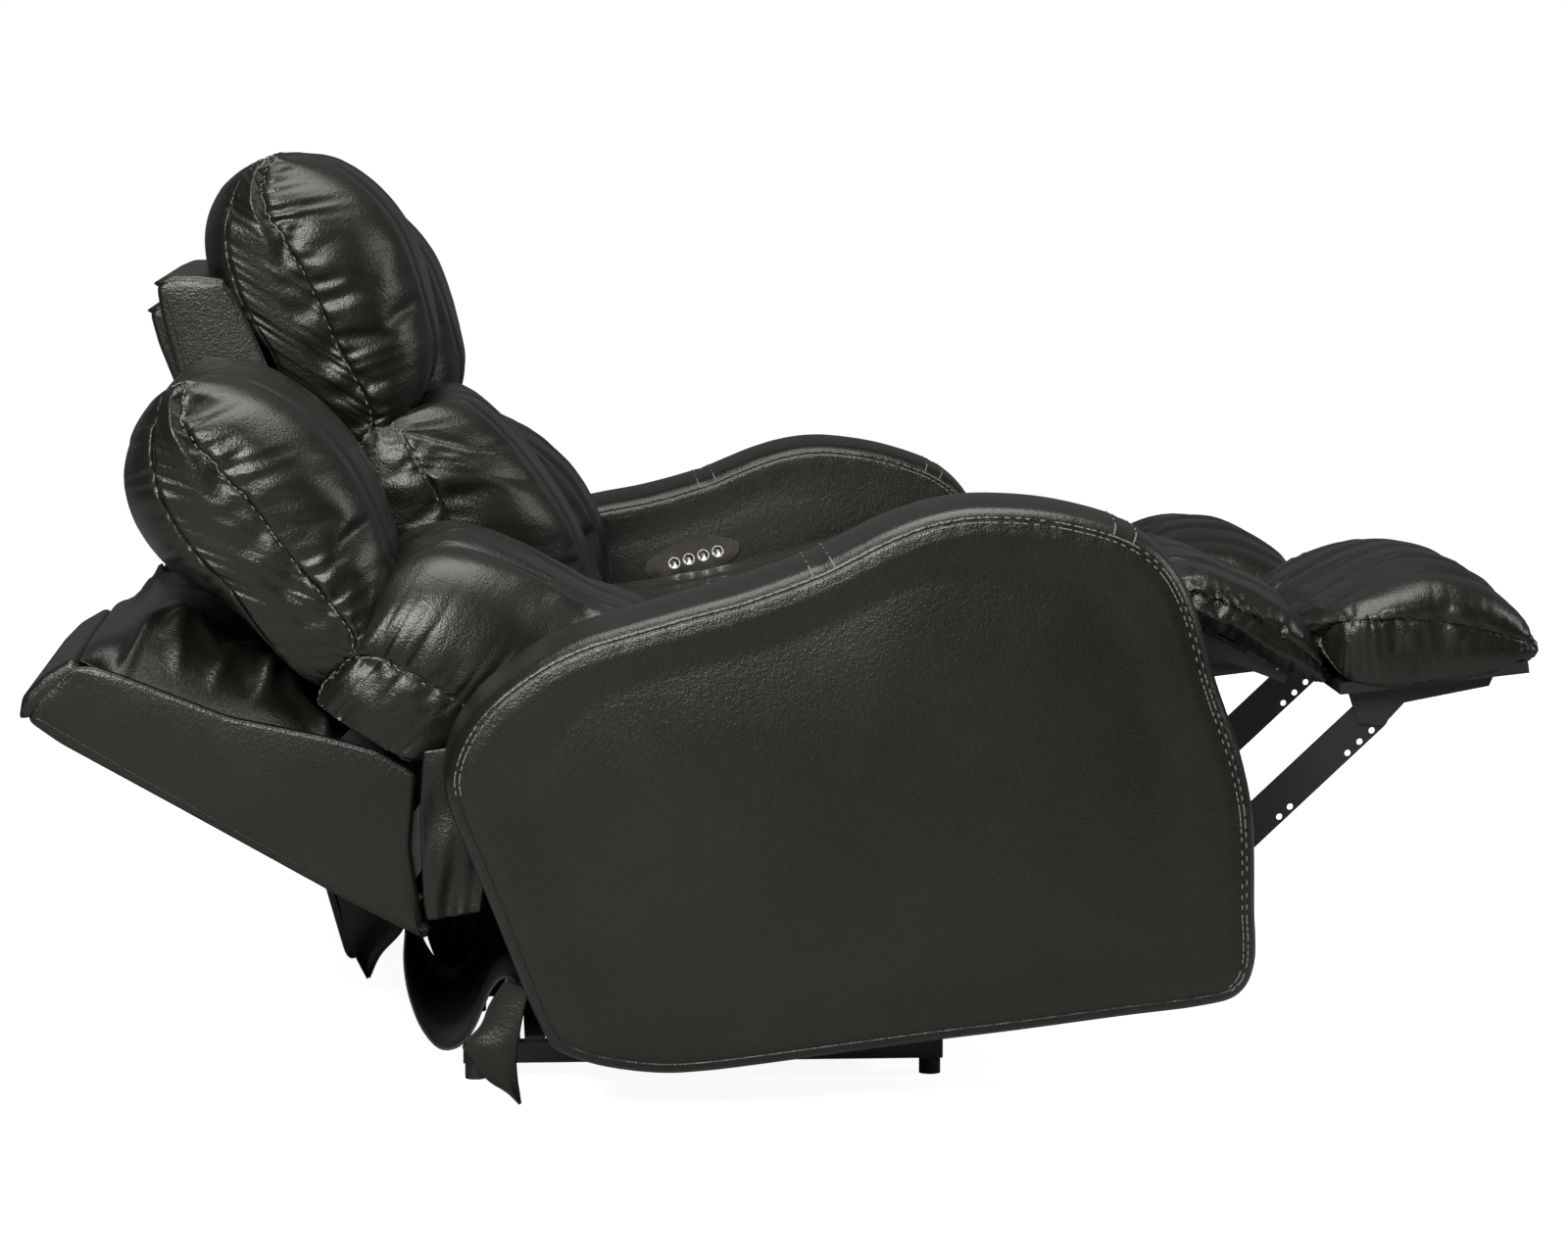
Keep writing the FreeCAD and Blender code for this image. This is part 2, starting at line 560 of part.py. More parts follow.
def make_feet():
    feet = []
    for x in (-SEAT_PITCH, 0, SEAT_PITCH):
        for side in (-1, 1):
            for u in (31, 581):
                feet.append(Part.makeCylinder(FOOT_R, FOOT_H, at(x + side * (BRACKET_X + 2), u, 0)))
    return group(feet)


def make_ties():
    """Two flat bars that tie the three bases together, and the posts under the middle seat box."""
    reach = SEAT_PITCH + BRACKET_X
    low = FOOT_H + RAIL
    solids = []
    for u in (90, 495):
        solids.append(block(-reach, reach, u, u + RAIL, low, low + TIE))
        post = [(u, low + TIE), (u + RAIL, low + TIE), (u + RAIL, deck(u + RAIL) - BOX_TALL), (u, deck(u) - BOX_TALL)]
        solids += pair(lambda a, b: poly(a, b, post), SIDE_BOARD_X, HALF)
    return solids


def button_places():
    """Places of the buttons along the control plate, from the rear."""
    return [((i - 1.25) * BUTTON_PITCH, 0.0) for i in range(4)]


def oval(a, b, low, high):
    face = Part.Face(Part.Wire(Part.Ellipse(FreeCAD.Vector(0, 0, low), a, b).toShape()))
    return face.extrude(FreeCAD.Vector(0, 0, high - low))


def make_control_plate():
    """Oval plate with a raised rim, button holes and a lamp, lying with its face up."""
    a, b = CONTROL_LENGTH / 2, CONTROL_HEIGHT / 2
    floor = CONTROL_THICK - RIM_STEP
    plate = oval(a, b, 0, CONTROL_THICK).cut(oval(a - RIM, b - RIM, floor, CONTROL_THICK))
    for s, t in button_places():
        ring = Part.makeCylinder(BUTTON_R + 2, RIM_STEP, FreeCAD.Vector(s, t, floor))
        plate = plate.fuse(ring)
        plate = plate.cut(Part.makeCylinder(BUTTON_R + BUTTON_FIT, CONTROL_THICK, FreeCAD.Vector(s, t, 0)))
    lamp = Part.makeCylinder(LAMP_R, RIM_STEP + 1, FreeCAD.Vector(button_places()[-1][0] + 20, 0, floor))
    return plate.fuse(lamp)


def make_button(place):
    s, t = place
    low = BUTTON_STROKE + 0.5
    tall = CONTROL_THICK + BUTTON_RISE - low
    button = Part.makeCylinder(BUTTON_R, tall, FreeCAD.Vector(s, t, low))
    cup = Part.makeSphere(BUTTON_R * 1.5, FreeCAD.Vector(s, t, low + tall + BUTTON_R * 1.25))
    return button.cut(cup)


def on_arm(shape, side):
    """From lying flat to standing on the inner face of the left (-1) or right (1) arm."""
    stand = FreeCAD.Matrix(0, 0, -side, 0, -1, 0, 0, 0, 0, side, 0, 0, 0, 0, 0, 1)
    copy = shape.copy()
    copy.Placement = FreeCAD.Placement(stand).multiply(copy.Placement)
    copy = turned(copy, (0, 0), CONTROL_TILT)
    copy.translate(at(side * ARM_AT, *CONTROL_AT))
    return copy


CURTAIN_START = (-126, 160)
CURTAIN_STEPS = [((-118, 58), (-90, 28)), ((-58, 44), (-38, 86)), ((-14, 104), (14, 84)),
                 ((40, 130), (DECK_REAR - CLEAR, 236))]


def make_curtain():
    """Dust cloth from under the seat box to the back: one hanging fold and a wave."""
    face = wire(-HALF + 8, CURTAIN_START, CURTAIN_STEPS).makeOffset2D(CLOTH, 0, True, True, False)
    return face.extrude(FreeCAD.Vector(2 * (HALF - 8), 0, 0))


def mirrored(shape, side):
    """Shapes are made for the right-hand unit and mirrored for the left-hand one."""
    return shape if side > 0 else shape.mirror(FreeCAD.Vector(0, 0, 0), FreeCAD.Vector(1, 0, 0))


def recliner(side, name, lifted):
    """All pieces of one recliner, posed as it stands in its rest state, and its pivots."""
    centre = side * SEAT_PITCH
    seat = [(SEAT_PIVOT, TILT), (BASE_PIVOT, -LIFT)] if lifted else []
    swing = [(BASE_PIVOT, -LIFT)] if lifted else []
    back = [(BACK_PIVOT, RECLINE if lifted else REST_RECLINE)] + seat
    head = [(HEAD_PIVOT, -HEAD_TILT if lifted else -REST_HEAD)] + back

    local = {
        "seat_box": (make_seat_box(side), seat), "seat_springs": (make_springs(), seat),
        "seat_cushion": (make_seat_cushion(), seat), "side_plates": (make_side_plates(), seat),
        "actuators": (make_actuators(), seat), "dust_curtain": (make_curtain(), seat),
        "swing_links": (make_swing_links(), swing),
        "back_shell": (make_back_shell(False), back), "back_frame": (make_hinged_back_frame(), back),
        "lumbar_cushion": (make_lumbar(False), back),
        "head_bracket": (make_head_bracket(), head), "head_pillow": (make_head_pillow(), head),
        "rear_leg_links": (make_leg_links(), seat), "front_leg_links": (make_knee_links(), seat),
        "foot_bracket": (make_foot_bracket(), seat), "foot_pad": (make_foot_pad(), seat),
        "mid_bracket": (make_mid_bracket(), seat), "mid_pad": (make_mid_pad(), seat)}
    pieces = {name + "_" + key: shifted(posed(shape, moves), centre) for key, (shape, moves) in local.items()}

    arm = shifted(mirrored(group([make_arm()]), side), side * ARM_AT)
    frame = shifted(mirrored(make_arm_frame(), side), side * ARM_AT)
    pieces[name + "_arm"] = posed(arm, seat)
    pieces[name + "_arm_frame"] = posed(frame, seat)
    pieces[name + "_control_plate"] = posed(on_arm(make_control_plate(), side), seat)
    for button, place in zip(("recline", "return", "head_up", "head_down"), button_places()):
        pieces["%s_%s_button" % (name, button)] = posed(on_arm(make_button(place), side), seat)

    pivots = {"lift": (BASE_PIVOT, []), "tilt": (SEAT_PIVOT, swing), "recline": (BACK_PIVOT, seat),
              "headrest": (HEAD_PIVOT, back), "legs": (LEG_PIVOT, seat), "knee": (KNEE_PIVOT, seat),
              "foot": (PAD_PIVOT, seat), "mid": (MID_PIVOT, seat)}
    return pieces, {name + "_" + key: posed_point(point, moves) for key, (point, moves) in pivots.items()}


def make_middle():
    """The fixed seat in the middle."""
    return {"middle_seat_box": make_seat_box(0), "middle_seat_springs": make_springs(),
            "middle_front_panel": make_front_panel(),
            "middle_seat_cushion": make_seat_cushion(), "middle_back_shell": make_back_shell(True),
            "middle_back_frame": make_fixed_back_frame(), "middle_lumbar_cushion": make_lumbar(True),
            "middle_head_pillow": make_head_pillow()}


def make_bases():
    """The three bases, tied together."""
    solids = make_base(False) + make_ties()
    for side in (-1, 1):
        solids += [shifted(piece, side * SEAT_PITCH) for piece in make_base(True)]
    return group(solids)


def main():
    nodes = {"base_frames": make_bases(), "base_feet": make_feet()}
    nodes.update(make_middle())
    pivots = {}
    for side, name, lifted in ((-1, "left", True), (1, "right", False)):
        pieces, points = recliner(side, name, lifted)
        nodes.update(pieces)
        pivots.update(points)

    # The origin is on the floor, halfway between the rearmost and foremost points at rest.
    reach = [v.y for shape in nodes.values() for v in shape.tessellate(1.0)[0]]
    centre = (min(reach) + max(reach)) / 2
    os.makedirs("parts", exist_ok=True)
    for name, shape in nodes.items():
        shape.translate(FreeCAD.Vector(0, -centre, 0))
        solids = shape.Solids
        print(name, "solids", len(solids), "valid", shape.isValid(), "litres %.3f" % (shape.Volume / 1e6))
        Part.makeCompound(solids).exportStep("parts/" + name + ".step")
    for name, (u, v) in pivots.items():
        print("pivot", name, "y %.4f z %.4f" % (-u - centre, v))
    print("nodes", len(nodes), "depth %.1f" % (max(reach) - min(reach)), "centre %.2f" % centre)


main()
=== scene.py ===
import json

import bpy
import numpy as np
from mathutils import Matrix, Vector


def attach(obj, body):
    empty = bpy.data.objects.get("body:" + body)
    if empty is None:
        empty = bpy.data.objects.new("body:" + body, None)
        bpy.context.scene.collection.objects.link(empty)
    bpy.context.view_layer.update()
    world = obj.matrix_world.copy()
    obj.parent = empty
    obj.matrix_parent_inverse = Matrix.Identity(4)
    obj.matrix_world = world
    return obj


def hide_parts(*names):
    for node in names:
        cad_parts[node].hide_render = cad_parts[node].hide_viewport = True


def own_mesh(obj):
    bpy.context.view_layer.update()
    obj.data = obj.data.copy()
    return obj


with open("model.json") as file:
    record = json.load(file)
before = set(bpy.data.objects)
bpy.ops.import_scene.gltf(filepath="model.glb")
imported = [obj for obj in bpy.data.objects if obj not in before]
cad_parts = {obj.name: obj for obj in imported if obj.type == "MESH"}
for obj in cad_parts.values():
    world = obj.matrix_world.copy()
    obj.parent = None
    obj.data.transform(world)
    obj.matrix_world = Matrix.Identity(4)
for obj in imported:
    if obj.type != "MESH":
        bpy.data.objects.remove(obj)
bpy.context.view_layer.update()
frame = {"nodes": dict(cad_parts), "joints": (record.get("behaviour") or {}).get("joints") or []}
nodes = frame["nodes"]
joints = {joint["name"]: joint for joint in frame["joints"]}

# Camera: level with the tops of the backs, at the sofa's left end.
# Side-view points are written (u, v) in millimetres: u forwards, v up from the floor.
FORWARD = joints["right_lift"]["pos_m"][1] + 0.295      # world Y of a point with u = 0
YAW, PITCH = np.radians(3.53), np.radians(6.39)
camera = bpy.data.objects.new("camera", bpy.data.cameras.new("camera"))
camera.data.lens = 112.5
camera.data.clip_end = 60.0
camera.location = (-6.630, FORWARD - 0.044, 1.200)
gaze = Vector((np.cos(PITCH) * np.cos(YAW), -np.cos(PITCH) * np.sin(YAW), -np.sin(PITCH)))
camera.rotation_euler = gaze.to_track_quat("-Z", "Y").to_euler()
bpy.context.collection.objects.link(camera)
bpy.context.scene.camera = camera
bpy.context.scene.view_settings.view_transform = "Standard"

# Studio: an even white room, a broad lamp overhead, one towards the front and one at the near end,
# and a white floor that keeps the sofa's shadow. Only camera rays see room and floor at their full white.
ROOM_LIGHT = 0.13
FLOOR_SEEN, FLOOR_GLOW, FLOOR_LIGHTS = 0.86, 0.92, 0.42


def even_shader(tree, kind, grey, strength=None):
    """A shader of one grey, with a strength where it gives light."""
    shader = tree.nodes.new(kind)
    shader.inputs["Color"].default_value = (grey, grey, grey, 1)
    if strength is not None:
        shader.inputs["Strength"].default_value = strength
    return shader


def show_camera(tree, shown, others, output):
    """One shader for camera rays and another for all other rays."""
    path = tree.nodes.new("ShaderNodeLightPath")
    mix = tree.nodes.new("ShaderNodeMixShader")
    tree.links.new(path.outputs["Is Camera Ray"], mix.inputs[0])
    tree.links.new(others.outputs[0], mix.inputs[1])
    tree.links.new(shown.outputs[0], mix.inputs[2])
    tree.links.new(mix.outputs[0], tree.nodes.new(output).inputs[0])


world = bpy.data.worlds.new("studio")
bpy.context.scene.world = world
world.use_nodes = True
tree = world.node_tree
tree.nodes.clear()
show_camera(tree, even_shader(tree, "ShaderNodeBackground", 1, 1.0),
            even_shader(tree, "ShaderNodeBackground", 1, ROOM_LIGHT), "ShaderNodeOutputWorld")

for name, place, size, watts in (("lamp_over", (-0.4, 0.1, 3.2), 2.4, 84),
                                 ("lamp_front", (-0.6, -3.6, 2.2), 1.6, 30),
                                 ("lamp_side", (-4.2, 1.2, 2.7), 2.0, 190)):
    lamp = bpy.data.objects.new(name, bpy.data.lights.new(name, "AREA"))
    lamp.data.size = size
    lamp.data.energy = watts
    lamp.location = place
    lamp.rotation_euler = (Vector((0, 0, 0.4)) - Vector(place)).to_track_quat("-Z", "Y").to_euler()
    bpy.context.collection.objects.link(lamp)

floor_mesh = bpy.data.meshes.new("floor")
floor_mesh.from_pydata([(-30, -30, 0), (30, -30, 0), (30, 30, 0), (-30, 30, 0)], [], [(0, 1, 2, 3)])
floor = bpy.data.objects.new("floor", floor_mesh)
bpy.context.collection.objects.link(floor)
floor_material = bpy.data.materials.new("floor_white")
floor_material.use_nodes = True
tree = floor_material.node_tree
tree.nodes.clear()
lit = tree.nodes.new("ShaderNodeAddShader")
tree.links.new(even_shader(tree, "ShaderNodeBsdfDiffuse", FLOOR_SEEN).outputs[0], lit.inputs[0])
tree.links.new(even_shader(tree, "ShaderNodeEmission", 1, FLOOR_GLOW).outputs[0], lit.inputs[1])
show_camera(tree, lit, even_shader(tree, "ShaderNodeBsdfDiffuse", FLOOR_LIGHTS), "ShaderNodeOutputMaterial")
floor_mesh.materials.append(floor_material)

# Base frames: square steel tube, welded, powder coated black, tied by two flat bars.
# The paint has a fine orange-peel skin and is rubbed a little thinner here and there.


def textured(tree, kind, scale, **inputs):
    """A procedural texture on Object coordinates."""
    node = tree.nodes.new(kind)
    node.inputs["Scale"].default_value = scale
    for name, value in inputs.items():
        node.inputs[name].default_value = value
    tree.links.new(tree.nodes.new("ShaderNodeTexCoord").outputs["Object"], node.inputs["Vector"])
    return node


def shade_and_gloss(tree, patches, dark, light, span, rough):
    """Two near shades mixed by slow patches, and the roughness spread over a range by the same patches."""
    shader = tree.nodes["Principled BSDF"]
    shades = tree.nodes.new("ShaderNodeMix")
    shades.data_type = "RGBA"
    shades.inputs["A"].default_value = (*dark, 1)
    shades.inputs["B"].default_value = (*light, 1)
    tree.links.new(patches.outputs["Fac"], shades.inputs["Factor"])
    tree.links.new(shades.outputs["Result"], shader.inputs["Base Color"])
    spread = tree.nodes.new("ShaderNodeMapRange")
    for socket, value in zip(("From Min", "From Max", "To Min", "To Max"), span + rough):
        spread.inputs[socket].default_value = value
    tree.links.new(patches.outputs["Fac"], spread.inputs["Value"])
    tree.links.new(spread.outputs["Result"], shader.inputs["Roughness"])


def raise_surface(tree, layers):
    """Bumps laid one on the next: each layer is a texture's output, a height in metres and a strength."""
    normal = None
    for output, distance, strength in layers:
        relief = tree.nodes.new("ShaderNodeBump")
        relief.inputs["Distance"].default_value = distance
        relief.inputs["Strength"].default_value = strength
        tree.links.new(output, relief.inputs["Height"])
        if normal:
            tree.links.new(normal, relief.inputs["Normal"])
        normal = relief.outputs["Normal"]
    tree.links.new(normal, tree.nodes["Principled BSDF"].inputs["Normal"])


def finish_material(name, light, dark, rough, metal=0.0, grain=900.0, bump=0.00004, patch=9.0):
    """Paint, plastic, wood, cloth or metal: soft patches of shade and gloss, and a bump of one grain size."""
    material = bpy.data.materials.new(name)
    material.use_nodes = True
    tree = material.node_tree
    tree.nodes["Principled BSDF"].inputs["Metallic"].default_value = metal
    patches = textured(tree, "ShaderNodeTexNoise", patch, Detail=5.0)
    skin = textured(tree, "ShaderNodeTexNoise", grain, Detail=2.0)
    shade_and_gloss(tree, patches, dark, light, (0.3, 0.7), (rough - 0.07, rough + 0.09))
    raise_surface(tree, [(skin.outputs["Fac"], bump, 0.6)])
    return material


def give(name, material):
    """Puts a material on a CAD node."""
    mesh = nodes[name].data
    mesh.materials.clear()
    mesh.materials.append(material)


black_paint = finish_material("black_paint", (0.019, 0.019, 0.02), (0.009, 0.009, 0.0095), 0.36, bump=0.00006)
give("base_frames", black_paint)

# Feet: round moulded plastic glides under the ends of the base rails, four to each seat, with the dull
# gloss of their mould.
black_plastic = finish_material("black_plastic", (0.02, 0.02, 0.021), (0.013, 0.013, 0.014), 0.55, grain=1500)
give("base_feet", black_plastic)

# Seat boxes: plywood boards wrapped in black cloth, zigzag springs of bare tempered wire between them.
# The arms' frames are bare plywood under their covers.
plywood = finish_material("plywood", (0.42, 0.29, 0.17), (0.28, 0.18, 0.1), 0.62, grain=240, bump=0.0002,
                          patch=26)
spring_wire = finish_material("spring_wire", (0.2, 0.2, 0.21), (0.12, 0.12, 0.13), 0.34, metal=1.0,
                              grain=1600)
board_cloth = finish_material("board_cloth", (0.017, 0.017, 0.017), (0.009, 0.009, 0.009), 0.7, grain=1300,
                              bump=0.00012, patch=12)
for seat in ("left", "middle", "right"):
    give(seat + "_seat_box", board_cloth)
    give(seat + "_seat_springs", spring_wire)
for side in ("left", "right"):
    give(side + "_arm_frame", plywood)

# Mechanism: pressed and painted black steel plates, links and frames that carry the seats and backs, pinned
# together, and two linear actuators under each recliner's seat.
link_paint = finish_material("link_paint", (0.018, 0.018, 0.019), (0.008, 0.008, 0.0085), 0.4, grain=700,
                             bump=0.00008)
for side in ("left", "right"):
    for part in ("side_plates", "swing_links", "rear_leg_links", "front_leg_links", "mid_bracket",
                 "foot_bracket", "head_bracket", "back_frame"):
        give(side + "_" + part, link_paint)
    give(side + "_actuators", black_plastic)
give("middle_back_frame", link_paint)

# Arms: plywood sides under foam, covered in leather, sewn from two side panels and a band that runs
# over the top, with a row of topstitching on both sides of each seam.
ANGLE = {"left_seat": 4.2, "left_back": 45.4, "left_head": 12.0, "right_seat": 0.0, "right_back": 6.2,
         "right_head": -9.8}
PIVOT = {"seat": ((200, 150), "tilt"), "back": ((174, 463), "recline"), "head": ((-119, 643), "headrest")}
SEAT_X = {"left": -580.0, "middle": 0.0, "right": 580.0}


def stand(points, seat, part):
    """Side-view points (x from the seat's middle, u, v) turned about the part's hinge, in world metres."""
    x, u, v = np.moveaxis(np.asarray(points, float), -1, 0)
    if seat == "middle":
        y, z = FORWARD - u / 1000, v / 1000
    else:
        (pu, pv), joint = PIVOT[part]
        turn = np.radians(ANGLE[seat + "_" + part])
        _, hinge_y, hinge_z = joints[seat + "_" + joint]["pos_m"]
        y = hinge_y - ((u - pu) * np.cos(turn) - (v - pv) * np.sin(turn)) / 1000
        z = hinge_z + ((u - pu) * np.sin(turn) + (v - pv) * np.cos(turn)) / 1000
    return np.stack([(x + SEAT_X[seat]) / 1000, y, z], axis=-1)


def through(keys, per, closed=True):
    """Catmull-Rom curve through the keys, with the same number of points on each run."""
    keys = np.asarray(keys, float)
    if not closed:
        keys = np.vstack([2 * keys[0] - keys[1], keys, 2 * keys[-1] - keys[-2]])
    count = len(keys)
    first = np.arange(count) if closed else np.arange(1, count - 2)
    t = (np.arange(per) / per)[None, :, None]
    a, b, c, d = (keys[(first + step) % count][:, None] for step in (-1, 0, 1, 2))
    curve = 2 * b + (c - a) * t + (2 * a - 5 * b + 4 * c - d) * t ** 2 + (3 * b - a - 3 * c + d) * t ** 3
    curve = 0.5 * curve.reshape(-1, keys.shape[1])
    return curve if closed else np.vstack([curve, keys[-2]])


def evenly(line, count):
    """The same line with its points at even steps of length."""
    line = np.asarray(line, float)
    run = np.concatenate([[0], np.cumsum(np.linalg.norm(np.diff(line, axis=0), axis=1))])
    at = np.linspace(0, run[-1], count)
    return np.stack([np.interp(at, run, line[:, k]) for k in range(line.shape[1])], axis=1)


def unit(vectors):
    """The same vectors with a length of 1."""
    return vectors / np.maximum(np.linalg.norm(vectors, axis=-1, keepdims=True), 1e-9)


def inward_of(outline):
    """Normals of a closed side-view outline, pointing into it by the sign of its area."""
    tangent = np.roll(outline, -1, 0) - np.roll(outline, 1, 0)
    inward = unit(np.stack([-tangent[:, 1], tangent[:, 0]], axis=1))
    area = np.sum(outline[:, 0] * np.roll(outline[:, 1], -1) - np.roll(outline[:, 0], -1) * outline[:, 1])
    return inward if area > 0 else -inward


def normals_of(grid):
    """Outward normals of a grid of rings: the cross product of its two directions, closed round each ring."""
    around = (np.roll(grid, -1, axis=1) - np.roll(grid, 1, axis=1)) / 2
    normal = unit(np.cross(np.gradient(grid, axis=0), around))
    outward = np.sum(normal * (grid - grid.mean(axis=(0, 1))), axis=-1).sum()
    return normal if outward > 0 else -normal


def closed_mesh(name, grid, material):
    """Rings joined one to the next; the first and last ring are zipped shut across their own middle line."""
    rings, around = grid.shape[:2]
    index = np.arange(rings * around).reshape(rings, around)
    right = np.roll(index, -1, axis=1)
    quads = np.stack([index[:-1], right[:-1], right[1:], index[1:]], axis=-1).reshape(-1, 4)
    half = around // 2
    front, rear = np.arange(1, half - 1), around - np.arange(1, half - 1)
    caps = []
    for ring, flip in ((index[0], True), (index[-1], False)):
        cap = np.stack([ring[front], ring[front + 1], ring[rear - 1], ring[rear]], axis=-1)
        tips = [[ring[0], ring[1], ring[-1]], [ring[half], ring[half + 1], ring[half - 1]]]
        caps.append((cap[:, ::-1] if flip else cap, [tip[::-1] if flip else tip for tip in tips]))
    faces = quads.tolist() + [face for cap, _ in caps for face in cap.tolist()] + \
        [tip for _, tips in caps for tip in tips]
    return mesh_object(name, grid.reshape(-1, 3), faces, material)


def mesh_object(name, points, faces, material):
    """A smooth object at the origin; its faces are turned outwards by the sign of its volume."""
    mesh = bpy.data.meshes.new(name)
    mesh.from_pydata(np.asarray(points).tolist(), [], faces)
    mesh.validate()
    triangles = np.array([(f[0], f[i], f[i + 1]) for f in faces for i in range(1, len(f) - 1)])
    a, b, c = (np.asarray(points)[triangles[:, k]] for k in range(3))
    if np.sum(a * np.cross(b, c)) < 0:
        mesh.flip_normals()
    mesh.polygons.foreach_set("use_smooth", np.ones(len(mesh.polygons), bool))
    mesh.materials.append(material)
    mesh.update()
    piece = bpy.data.objects.new(name, mesh)
    bpy.context.collection.objects.link(piece)
    return piece


def leather_material(name, dark, light, rough):
    """Pigmented leather: fine pebble cells, faint creases and slow changes of shade and gloss."""
    material = bpy.data.materials.new(name)
    material.use_nodes = True
    tree = material.node_tree
    tree.nodes["Principled BSDF"].inputs["Specular Tint"].default_value = (1.0, 1.0, 0.93, 1)
    slow = textured(tree, "ShaderNodeTexNoise", 7.0, Detail=6.0)
    creases = textured(tree, "ShaderNodeTexNoise", 60.0, Detail=7.0, Roughness=0.65)
    pebbles = textured(tree, "ShaderNodeTexVoronoi", 460.0)
    pores = textured(tree, "ShaderNodeTexVoronoi", 210.0)
    pores.feature = "SMOOTH_F1"
    shade_and_gloss(tree, slow, dark, light, (0.32, 0.68), (rough - 0.02, rough + 0.03))
    raise_surface(tree, [(creases.outputs["Fac"], 0.0008, 0.35), (pores.outputs["Distance"], 0.0005, 0.5),
                         (pebbles.outputs["Distance"], 0.0004, 0.6)])
    return material


leather = leather_material("black_leather", (0.0036, 0.0036, 0.0026), (0.0094, 0.0094, 0.0074), 0.31)
thread = finish_material("grey_thread", (0.22, 0.216, 0.2), (0.14, 0.137, 0.128), 0.7, grain=3000,
                         bump=0.0001)


def leather_piece(name, grid, body):
    """A closed leather piece on its body."""
    piece = closed_mesh(name, grid, leather)
    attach(piece, body)
    return piece


STITCH_LONG, STITCH_PITCH, THREAD = 6.2, 9.0, 1.8      # millimetres
STITCH_PROUD = 0.0006                                  # a stitch's middle above the leather, in metres


def stitches(name, lines, body):
    """Topstitching: along each line, a row of small five-sided beads that lie half in the leather."""
    spine = np.array([-0.5, -0.36, 0.0, 0.36, 0.5]) * STITCH_LONG / 1000
    girth = np.array([0.25, 0.9, 1.0, 0.9, 0.25]) * THREAD / 2000
    turn = (np.arange(5) * 2 * np.pi / 5)[:, None]
    verts, faces, used = [], [], 0
    for line, normal in lines:
        length = np.linalg.norm(np.diff(line, axis=0), axis=1).sum()
        count = int(length / (STITCH_PITCH / 1000))
        both = evenly(np.hstack([line, normal]), count * 2 + 1)
        middle, up = both[1::2, :3], unit(both[1::2, 3:])
        along = unit(both[2::2, :3] - both[0:-1:2, :3])
        ring = np.cross(along, up)[:, None] * np.cos(turn) + up[:, None] * np.sin(turn)
        beads = (middle[:, None, None] + (along[:, None] * spine[:, None])[:, :, None]
                 + up[:, None, None] * STITCH_PROUD + ring[:, None] * girth[:, None, None])
        index = used + np.arange(beads[..., 0].size).reshape(beads.shape[:3])
        used += index.size
        beside = np.roll(index, -1, 2)
        wall = np.stack([index[:, :-1], beside[:, :-1], beside[:, 1:], index[:, 1:]], axis=-1)
        verts.append(beads.reshape(-1, 3))
        faces += wall.reshape(-1, 4).tolist() + index[:, 0, ::-1].tolist() + index[:, -1].tolist()
    piece = mesh_object(name, np.vstack(verts), faces, thread)
    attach(piece, body)


def rough_lines(seed, length, waves):
    """A seeded wavering of unit height: a sum of sines of rising frequency and random phase."""
    draw = np.random.default_rng(seed)
    at = np.linspace(0, 1, length, endpoint=False)
    total = np.zeros(length)
    for wave in waves:
        total += np.sin(2 * np.pi * (wave * at + draw.random())) * draw.uniform(0.5, 1.0)
    return total / len(waves) ** 0.5


ARM_EDGE = [(54, 42), (98, 25), (158, 13), (215, 11), (290, 14), (362, 18), (480, 24), (580, 28), (700, 34),
            (790, 38), (836, 48), (858, 84), (862, 150), (866, 215), (866, 270), (858, 325), (846, 372),
            (834, 415), (826, 456), (816, 500), (800, 542), (778, 573), (748, 597), (710, 614), (656, 630),
            (600, 639), (555, 641), (510, 635), (465, 622), (425, 606), (380, 588), (298, 565), (230, 552),
            (160, 538), (110, 527), (66, 511), (24, 488), (-15, 459), (-44, 424), (-60, 388), (-62, 358),
            (-52, 318), (-35, 268), (-14, 200), (4, 140), (20, 90), (35, 57)]
ARM_MIDDLE = np.array([400.0, 318.0])
ARM_HALF = 100.0            # half the arm's width
ARM_X = 390.0               # from the seat's middle to the arm's
INNER_FLAT = 99.0           # the inner panel lies flat behind the control plate
# Share of the way from the panel's middle to its edge, and the bulge there.
ARM_PANEL = [(0.04, 16), (0.16, 15.8), (0.3, 15), (0.46, 13.4), (0.6, 11.4), (0.72, 9), (0.82, 6.6),
             (0.9, 4.6)]
# Inset from the outline over the panel's edge, its seam and the turn of the band, and the height there.
ARM_TURN = [(34, 2.8), (27, 1.8), (21, 0.8), (17.5, 0.3), (15.5, -0.6), (14.3, -2.2), (13.4, -1.0),
            (12.0, -0.9), (9.5, -2.2), (6.8, -4.6), (4.2, -7.6), (2.0, -11.4), (0.6, -15.6), (-0.3, -20.5)]
ARM_SEAM = 13               # the ring that lies in the seam
PANEL_SET, TURN_SET = 8.0, 1.5      # the bulges and the heights start this far inside the arm's half width
BAND_FIRST, BAND_HALF = 72.0, 79.0  # where the band's rings start, and where its crown ends
BAND_CROWN = 7.0
ARM_POINTS = 400            # points round the outline
CROSS_SEAMS = [(384, 590), (742, 600)]


